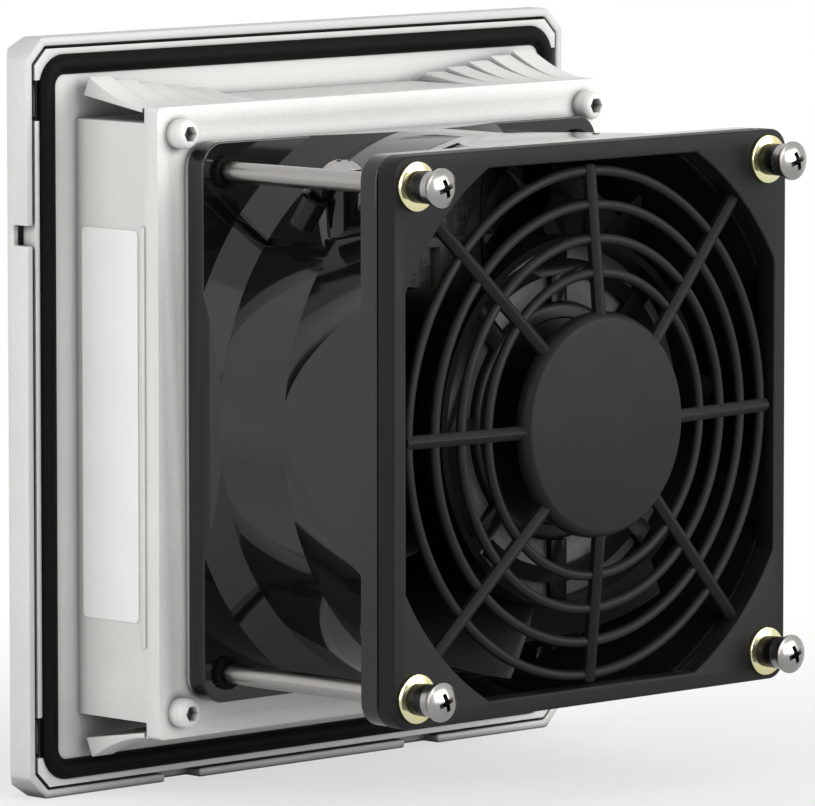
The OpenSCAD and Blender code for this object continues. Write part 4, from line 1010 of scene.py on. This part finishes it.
def make_gasket():
    """Sealing bead with a round crown, swept round the flange in one loop."""
    half, crown, seat, rise, chamfer = 1.35, 1.35, 0.8, 1.0, 0.2
    shoulder = rise - crown * 0.5
    outline = [(-half + chamfer, -seat), (half - chamfer, -seat), (half, -seat + chamfer), (half, shoulder)]
    outline += arc((0, rise - crown), crown, 30, 150, 14) + [(-half, shoulder), (-half, -seat + chamfer)]
    bm = bmesh.new()
    points = [bm.verts.new(Vector((y, x, 0)) * MM) for x, y in outline]
    for a, b in zip(points, points[1:] + points[:1]):
        bm.edges.new((a, b))
    section = as_mesh(bm, "bead_section")
    corner = (BEAD_CORNER - half) * MM
    mesh = grown("swept_bead", "seal_foam", section, width=2 * BEAD_AT * MM, corner_radius=corner)
    mesh = closed_mesh(as_bmesh(mesh), "flange_gasket")
    new_piece("sealing_bead", mesh, "seal_foam", "housing", "flange_gasket")


def make_corner_screws():
    """Round-shouldered caps with a hexagon socket, in the corners of the housing's rear border."""
    radius, height, shoulder, socket, socket_depth, shank, shank_length = 2.1, 2.9, 1.1, 1.0, 1.8, 1.25, 7
    face = HOUSING_REAR
    top, end = face + height, face - shank_length
    crown = [(radius - shoulder + r, top - shoulder + y) for r, y in arc((0, 0), shoulder, 0, 90, 8)]
    profile = [(0, end), (shank, end), (shank, face), (radius, face)] + crown + [(0, top)]
    head = lathe("corner_screw", profile, 64)
    across = socket / math.cos(math.radians(30))
    flare = across * 1.12
    levels = [(across, top - socket_depth), (across, top - 0.15), (flare, top + 0.05), (flare, top + 1)]
    hexagon = loft("hexagon", [[(x, y, z) for x, z in circle(r, 6)] for r, y in levels])
    head = carved(head, ("DIFFERENCE", hexagon))
    mesh = at_corners(head, "housing_plastic", 2 * CORNER_SCREW_AT)
    new_piece("hex_corner_screws", mesh, "housing_plastic", "housing", "corner_screws")


def make_clamp(corner, sx, sz):
    """Springy finger of five stepped strips, grooved between them."""
    count, width, gap, groove, rise, step = 5, 4.6, 0.38, 0.8, 3.8, 0.63
    hinge_y, hinge_z, hinge_r, tip_y, nose, tip_t = 13.78, 44.6, 0.4, 1.6, 1.2, 2.7
    steps, curve = 20, 1.7

    def side_view(top, lower):
        """Outline in Y and Z that swells from the hinge towards the tip."""
        run = hinge_y - tip_y - nose
        line = [(hinge_y, hinge_z - hinge_r)]
        for i in range(steps + 1):
            t = i / steps
            line.append((hinge_y - t * run, HOUSING_HALF + (top - lower) * t ** curve))
        return line + [(tip_y, HOUSING_HALF + top * (1 - tip_t / rise))]

    def across(name, top, lower, start, end):
        return loft(name, [[(x, y, z) for y, z in side_view(top, lower)] for x in (start, end)])

    parts = []
    for i in range(count):
        start = HOUSING_HALF - (i + 1) * width
        top = rise - i * step
        strip = across("strip", top, 0, start + gap, start + width)
        parts.append(applied(strip, bevel(0.14, 3, degrees=40)))
        parts.append(across("web", top, groove, start, start + gap + 0.02))
    inner, end = HOUSING_HALF - count * width, HOUSING_HALF - 0.6
    root = bored(inner, end, hinge_r, 24)
    parts.append(placed(root, Matrix.Translation((0, hinge_y, hinge_z)) @ turned_by(-90, "Z")))
    name = "clamp_" + corner
    mesh = joined(name, *parts)
    mesh.transform(Matrix.Diagonal((sx, 1, sz, 1)))
    new_piece("strips_" + corner, closed_mesh(as_bmesh(mesh), name), "housing_plastic", name, name)


def make_label_film():
    """Thin film with round corners and a rubbed-down edge."""
    front, rear, low, high, radius = 1.3, 12.9, -28.6, 27.4, 0.8
    mid_y, half_y = (front + rear) / 2, (rear - front) / 2
    mid_z, half_z = (low + high) / 2, (high - low) / 2
    levels = ((0, 0), (0, 0.09), (0.03, 0.14), (0.09, 0.15))

    def outline(inset, x):
        spread = []
        for sy, sz, start in SQUARE_CORNERS:
            centre = (mid_y + sy * (half_y - radius), mid_z + sz * (half_z - radius))
            spread += [(x, y, z) for y, z in arc(centre, radius - inset, start, start + 90, 8)]
        return spread

    mesh = loft("rating_label", [outline(inset, HOUSING_HALF + height) for inset, height in levels])
    new_piece("blank_label", mesh, "label_white", "housing", "rating_label")


# ---- Fan


def make_hole_cutters(radius, front, rear, rim=0.2):
    """Four bores along Y, opened out at both faces."""
    profile = [(0, front - 1), (radius + rim, front - 1), (radius + rim, front), (radius, front + rim),
               (radius, rear - rim), (radius + rim, rear), (radius + rim, rear + 1), (0, rear + 1)]
    return at_corners(lathe("bore", profile, 48), "fan_black")


def make_fan_frame():
    """Two flanges and a waisted barrel, its flares cut flat at the fan's four sides."""
    front_face, rear_face = FAN_FRONT + FAN_FLANGE, FAN_REAR - FAN_FLANGE
    h, m, recess, lead, facets = FAN_HALF, MOUTH_HALF, 0.4, 1.08, 320
    start, end = FAN_FRONT + recess, FAN_REAR - recess
    outside = lathe("waist", [
        (0, start), (FLARE_R, start), (FLARE_R, front_face), (BARREL_R, THROAT_FRONT),
        (BARREL_R, THROAT_REAR), (FLARE_R, rear_face), (FLARE_R, end), (0, end),
    ], facets)
    passage = lathe("passage", [
        (0, FAN_FRONT - 1), (MOUTH_R, FAN_FRONT - 1), (MOUTH_R, FAN_FRONT), (THROAT_R, THROAT_FRONT - lead),
        (THROAT_R, THROAT_REAR), (MOUTH_R, FAN_REAR), (MOUTH_R, FAN_REAR + 1), (0, FAN_REAR + 1),
    ], facets)
    outside = carved(outside, ("INTERSECT", block("sides", (-h, FAN_FRONT, -h), (h, FAN_REAR, h))))
    passage = carved(passage, ("INTERSECT", block("inside", (-m, FAN_FRONT - 2, -m), (m, FAN_REAR + 2, m))))
    boss = lathe("boss", [(0, -8.5), (2.05, -8.5), (2.5, -0.15), (2.35, 0), (0, 0)], 48)
    hole = bored(-5.5, 1, EARTH_BORE, 32)

    def outline(inset):
        return soft_square(FAN_HALF - inset, FAN_CORNER - inset)

    flanges = ((FAN_FRONT, front_face), (rear_face, FAN_REAR))
    cuts = [("UNION", slab("flange", outline, round_rims(*ends, 0.22))) for ends in flanges]
    cuts += [("UNION", standing(boss)), ("DIFFERENCE", passage), ("DIFFERENCE", standing(hole))]
    cuts += [("DIFFERENCE", make_hole_cutters(HOLE_R, *ends)) for ends in flanges]
    mesh = cleaned(carved(outside, *cuts))
    new_piece("fan_body", mesh, "fan_black", "housing", "fan_frame", sharp=9)


def make_impeller():
    """Closed hub with a turned face and seven swept, twisted blades with thinned edges."""
    chamfer, floor = 0.2, HUB_REAR - 0.25
    side = [(HUB_R, HUB_FRONT + chamfer), (HUB_R, HUB_REAR - 1.1)]
    side += [(HUB_R - 1 + r, HUB_REAR - 1 + y) for r, y in arc((0, 0), 1.0, 4, 86, 8)]
    dish = [(HUB_R - 2.2, HUB_REAR), (HUB_R - 2.5, floor), (8.3, floor), (8.0, HUB_REAR), (0, HUB_REAR)]
    inside = [(0, CUP_REAR), (HUB_IN_R, CUP_REAR), (HUB_IN_R, HUB_FRONT + chamfer),
              (HUB_IN_R + chamfer, HUB_FRONT), (HUB_R - chamfer, HUB_FRONT)]
    hub = lathe("impeller_hub", side + dish + inside, 160, closed=True)
    new_piece("hub", hub, "impeller_black", "rotor", "impeller_hub")

    across, along, blades, sweep, twist = 12, 22, 7, math.radians(-14), math.radians(44)
    root = HUB_R - 0.7
    shares = [0.5 - 0.5 * math.cos(math.pi * i / along) for i in range(along + 1)]
    trip = [(t, 1) for t in shares] + [(t, -1) for t in reversed(shares[1:-1])]
    rings = []
    for i in range(across + 1):
        radius = root + (BLADE_TIP - HUB_R + 0.7) * i / across
        lead = sweep * (radius - HUB_R) / (BLADE_TIP - HUB_R)
        ring = []
        for t, sign in trip:
            half = sign * BLADE_HALF * math.sqrt(max(0.0, 1 - abs(2 * t - 1) ** 5))
            out = radius * math.cos(lead) - half * math.sin(lead)
            side = radius * math.sin(lead) + half * math.cos(lead)
            turn = twist * t
            x = out * math.cos(turn) - side * math.sin(turn)
            z = out * math.sin(turn) + side * math.cos(turn)
            ring.append((x, BLADE_FRONT + BLADE_DEPTH * t, -z))
        rings.append(ring)
    mesh = grown("turned_copies", "impeller_black", loft("blade", rings), count=blades)
    new_piece("blades", mesh, "impeller_black", "rotor", "impeller_blades", sharp=50)


# ---- Finger guard


def make_guard_border():
    """Square frame with a window of four arcs and four bores."""
    front, rear, joint, foot_in, foot_high, edge, bore = FAN_REAR, GUARD_REAR, 0.12, 0.35, 0.6, 0.3, 1.8

    def square(inset):
        return soft_square(FAN_HALF - inset, GUARD_CORNER - inset)

    border = slab("guard", square, round_rims(front + joint, rear, 0.45, 5))
    levels = [(-edge, front - 1)] + round_rims(front, rear, edge, inwards=-1.0) + [(-edge, rear + 1)]
    window = slab("window", lambda inset: arc_cut_square(GUARD_OPEN - inset, GUARD_CUT - inset), levels)
    foot = slab("foot", square, [(foot_in, front), (foot_in, front + foot_high)])
    bores = make_hole_cutters(bore, front, rear)
    mesh = cleaned(carved(border, ("UNION", foot), ("DIFFERENCE", window), ("DIFFERENCE", bores)))
    new_piece("guard_border", mesh, "guard_black", "housing", "guard_frame", sharp=20)


def make_guard_cage():
    """Centre disc, four rings and eight ridged spokes."""
    low = DISC_REAR - 2.6
    rim = [(0.0, -1.5), (0.22, -0.85), (0.62, -0.25), (0.95, -0.05), (1.2, 0.0)]
    profile = [(0, low), (DISC_R - 0.3, low), (DISC_R, low + 0.3)]
    profile += [(DISC_R - inset, DISC_REAR + down) for inset, down in rim] + [(0, DISC_REAR)]
    disc = lathe("disc", profile, 192)
    slope = SPOKE_FALL / (GUARD_OPEN - DISC_R)
    rings = grown(
        "ring_cage", "guard_black", count=4, inner_radius=RING_IN * MM, outer_radius=RING_OUT * MM,
        depth=(SPOKE_DEPTH - slope * (RING_IN - DISC_R) - 0.5) * MM, fall=slope * (RING_OUT - RING_IN) * MM,
        thickness=RING_T * MM,
    )

    def spokes(end_r, end_size, **turn):
        """Four bars with a ridge towards the viewer and soft edges, falling from the disc outwards."""
        section = [(-0.95, -0.45), (-0.62, -0.9), (0.62, -0.9), (0.95, -0.45), (0.95, 0.28), (0.86, 0.42),
                   (0.12, 0.92), (0.0, 0.97), (-0.12, 0.92), (-0.86, 0.42), (-0.95, 0.28)]
        ring = []
        for r, size in ((DISC_R - 1.2, 1.0), (end_r - 0.5, 1.0), (end_r - 0.15, 0.9), (end_r, end_size)):
            depth = SPOKE_DEPTH - slope * (r - DISC_R)
            ring.append([(r, depth + SPOKE_R * b * size, SPOKE_R * a * size) for a, b in section])
        return grown("turned_copies", "guard_black", loft("spoke", ring), count=4, **turn)

    straight = spokes(RING_OUT + RING_T / 2 + 0.3, 0.6)
    slanted = spokes(GUARD_CUT + 0.35, 0.75, first_turn=math.pi / 4)
    cage = joined("guard_rings", disc, closed_mesh(as_bmesh(rings), "rings"), straight)
    new_piece("guard_cage", cage, "guard_black", "housing", "guard_rings", sharp=28)
    new_piece("guard_arms", slanted, "guard_black", "housing", "guard_spokes", sharp=28)


# ---- Long screws and what lies under their heads


def cross_cutter(top, depth):
    """Tapered cross recess below a screw head's top."""
    corners = ((-1, -1), (1, -1), (1, 1), (-1, 1))
    levels = ((0.55, top - depth), (1.0, top - 0.25), (1.12, top + 1))
    rings = [
        [(x * CROSS_WIDTH / 2 * k, y, z * CROSS_SLOT / 2 * (0.7 + 0.3 * k)) for x, z in corners]
        for k, y in levels
    ]
    arms = [placed(loft("arm", rings), turned_by(turn, "Y")) for turn in (20, 110)]
    pit = [(0, top - depth - 0.15), (0.15, top - depth), (0.55, top - 0.5), (0.6, top + 1), (0, top + 1)]
    return carved(arms[0], ("UNION", arms[1]), ("UNION", lathe("pit", pit, 24)))


def crossed_screw(name, shank, base, rise, crown, depth):
    """Screw with a soft-rimmed pan head and a cross recess.

    shank is the profile below the head, base the head's underside, rise its height, crown the radius of its
    top and depth that of the recess.
    """
    top = base + rise
    edge = math.degrees(math.acos((HEAD_R - 0.18) / crown))
    cap = arc((0, top - crown), crown, edge, 90, 14)
    rim = cap[0][1]
    head = [(HEAD_R - 0.2, base), (HEAD_R, base + 0.2), (HEAD_R, rim - 0.2), (HEAD_R - 0.06, rim - 0.07)]
    screw = lathe(name, shank + [(ROD_R, base)] + head + cap)
    return cleaned(carved(screw, ("DIFFERENCE", cross_cutter(top, depth))))


def make_long_screws():
    """Brushed rods through the whole fan, with domed heads and cross recesses."""
    shank = [(0, 10.0), (1.1, 10.0), (ROD_R, 10.6)]
    screw = crossed_screw("long_screw", shank, HEAD_AT, rise=1.6, crown=4.2, depth=1.2)
    mesh = at_corners(screw, "steel")
    new_piece("cross_head_screws", mesh, "steel", "housing", "long_screws", sharp=24)


def make_screw_stack():
    """Rings threaded on the rods: washers, sleeves, split washers and knurled keepers."""

    def ring(name, base, *points):
        """Ring round the rod, its (radius, depth) points counted from its front face."""
        profile = [(ROD_BORE, 0), *points, (ROD_BORE, points[-1][1])]
        return lathe(name, [(r, base + y) for r, y in profile], closed=True)

    def threaded(name, mesh, slot, node):
        new_piece(name, at_corners(mesh, slot), slot, "housing", node)

    washer = ring("plain_washers", WASHER_AT, (3.4, 0), (3.5, 0.1), (3.5, 0.42), (3.44, 0.54), (3.32, 0.6))
    threaded("plain_washers", washer, "zinc_yellow", "guard_washers")
    sleeve = ring("dark_sleeves", SLEEVE_AT, (2.2, 0), (2.3, 0.1), (2.3, 2.4), (2.2, 2.5))
    threaded("dark_sleeves", sleeve, "black_oxide", "spacer_sleeves")
    coil = ring("split", SPLIT_AT, (2.25, 0), (2.35, 0.1), (2.35, 1.2), (2.12, 1.32), (2.12, 1.6))
    gap = block("gap", (-4, SPLIT_AT - 1, -0.2), (-0.5, SPLIT_AT + 3, 0.2))
    threaded("split_washers", carved(coil, ("DIFFERENCE", gap)), "bright_steel", "spring_washers")

    face = FAN_FRONT + FAN_FLANGE
    teeth, outline = 16, []
    for i in range(teeth):
        for share, r in ((0.0, 2.26), (0.2, 2.4), (0.62, 2.4), (0.82, 2.26)):
            turn = math.tau * (i + share) / teeth
            outline.append((r * math.cos(turn), r * math.sin(turn)))
    levels = ((face, 0.97), (face + 0.08, 1), (face + 0.7, 1), (face + 0.8, 0.95))
    keeper = loft("keeper", [[(x * f, y, z * f) for x, z in outline] for y, f in levels])
    keeper = carved(keeper, ("DIFFERENCE", bored(face - 1, face + 2, ROD_BORE, 48)))
    threaded("knurled_keepers", keeper, "seal_foam", "keeper_rings")


def make_earth_screw():
    """Domed head with a cross recess, upright on its boss."""
    shank = [(0, -5.7), (1.3, -5.7), (ROD_R, -5.4)]
    screw = crossed_screw("earth_screw", shank, 0, rise=1.75, crown=3.47, depth=1.0)
    mesh = standing(screw, lift=LUG_THICK)
    new_piece("earth_screw_head", mesh, "bright_steel", "housing", "earth_screw", sharp=24)


def make_earth_lug():
    """Ring tongue under the earth screw, folded down to a crimp barrel."""
    thick, drop, wide, start = LUG_THICK, 2.7, 2.2, 1.2
    barrel_r, length, boss_r, gap = 2.0, 5.2, 2.5, 0.15
    lug_x = EARTH_X + boss_r + gap + barrel_r
    x, y, z = EARTH_X, EARTH_Y, EARTH_Z
    ring = lathe("ring", [(0, 0), (2.95, 0), (3.0, 0.08), (3.0, 0.6), (2.9, thick), (0, thick)], 64)
    far = (lug_x + thick / 2, y + wide / 2, z + thick)
    tongue = block("tongue", (x + start, y - wide / 2, z), far)
    fold = block("fold", (lug_x - thick / 2, y - wide / 2, z - drop), far)
    hollow = barrel_r - thick
    tube = lathe("tube", [
        (0, 0), (barrel_r - 0.3, 0), (barrel_r, -0.3), (barrel_r, 0.2 - length), (barrel_r - 0.15, -length),
        (hollow + 0.15, -length), (hollow, 0.2 - length), (hollow, -1.0), (0, -1.0),
    ], 64)
    lean = Matrix.Translation((lug_x, y - 0.4, z - drop + 0.2)) @ turned_by(-37, "X") @ turned_by(90, "X")
    unions = [("UNION", tongue), ("UNION", fold), ("UNION", placed(tube, lean))]
    mesh = carved(standing(ring), *unions, ("DIFFERENCE", standing(bored(-1, 2, EARTH_BORE, 48))))
    new_piece("crimp_lug", cleaned(mesh), "black_oxide", "housing", "earth_lug")


# ---- Filter mat


def make_filter_mat():
    """Fleece pad, puffed a little by cloth pressure and then fitted to its room."""
    wide, tall, front, rear = 42.7, 41.2, -2.4, 5.6
    edge, grid, pressure, last_frame = 0.45, 4.0, 4.0, 20
    blank = block("mat", (edge - wide, front + edge, edge - tall), (wide - edge, rear - edge, tall - edge))
    start = applied(blank, ("REMESH", {"mode": "VOXEL", "voxel_size": grid * MM}))
    puffed = start
    host = linked("mat_cloth", start.copy())
    cloth = host.modifiers.new("cloth", "CLOTH")
    cloth.settings.use_pressure = True
    cloth.settings.uniform_pressure_force = pressure
    cloth.settings.effector_weights.gravity = 0.0
    cloth.point_cache.frame_start = 1
    cloth.point_cache.frame_end = last_frame
    for frame_number in range(1, last_frame + 1):
        scene.frame_set(frame_number)
    puffed = result_of(host)
    scene.frame_set(1)
    for before, after in zip(start.vertices, puffed.vertices):
        shift = after.co - before.co
        if shift.length > edge * MM:
            after.co = before.co + shift.normalized() * edge * MM
    mesh = applied(puffed, ("SUBSURF", {"levels": 1, "render_levels": 1}))
    for axis, low, high in ((0, -wide, wide), (1, front, rear), (2, -tall, tall)):
        found = [v.co[axis] for v in mesh.vertices]
        least, most = min(found), max(found)
        for v in mesh.vertices:
            v.co[axis] = (low + (high - low) * (v.co[axis] - least) / (most - least)) * MM
    piece = new_piece("fleece_mat", mesh, "filter_fleece", "housing", "filter_mat")


make_louvre()
make_grille()
make_gasket()
make_corner_screws()
for clamp in (("top_left", 1, 1), ("top_right", -1, 1), ("bottom_left", 1, -1), ("bottom_right", -1, -1)):
    make_clamp(*clamp)
make_label_film()
make_fan_frame()
make_impeller()
make_guard_border()
make_guard_cage()
make_long_screws()
make_screw_stack()
make_earth_screw()
make_filter_mat()
softened("design_cover", "cover_plastic", "cover", 0.3)
softened("base_housing", "housing_plastic", "housing", 0.25)
for node in ("motor_base", "terminal_block"):
    softened(node, "fan_black", "housing", 0.2)
make_earth_lug()
softened("balance_plate", "light_metal", "rotor", 0.12)
softened("plate_spider", "impeller_black", "rotor", 0.12)

scene.view_settings.view_transform = "Standard"
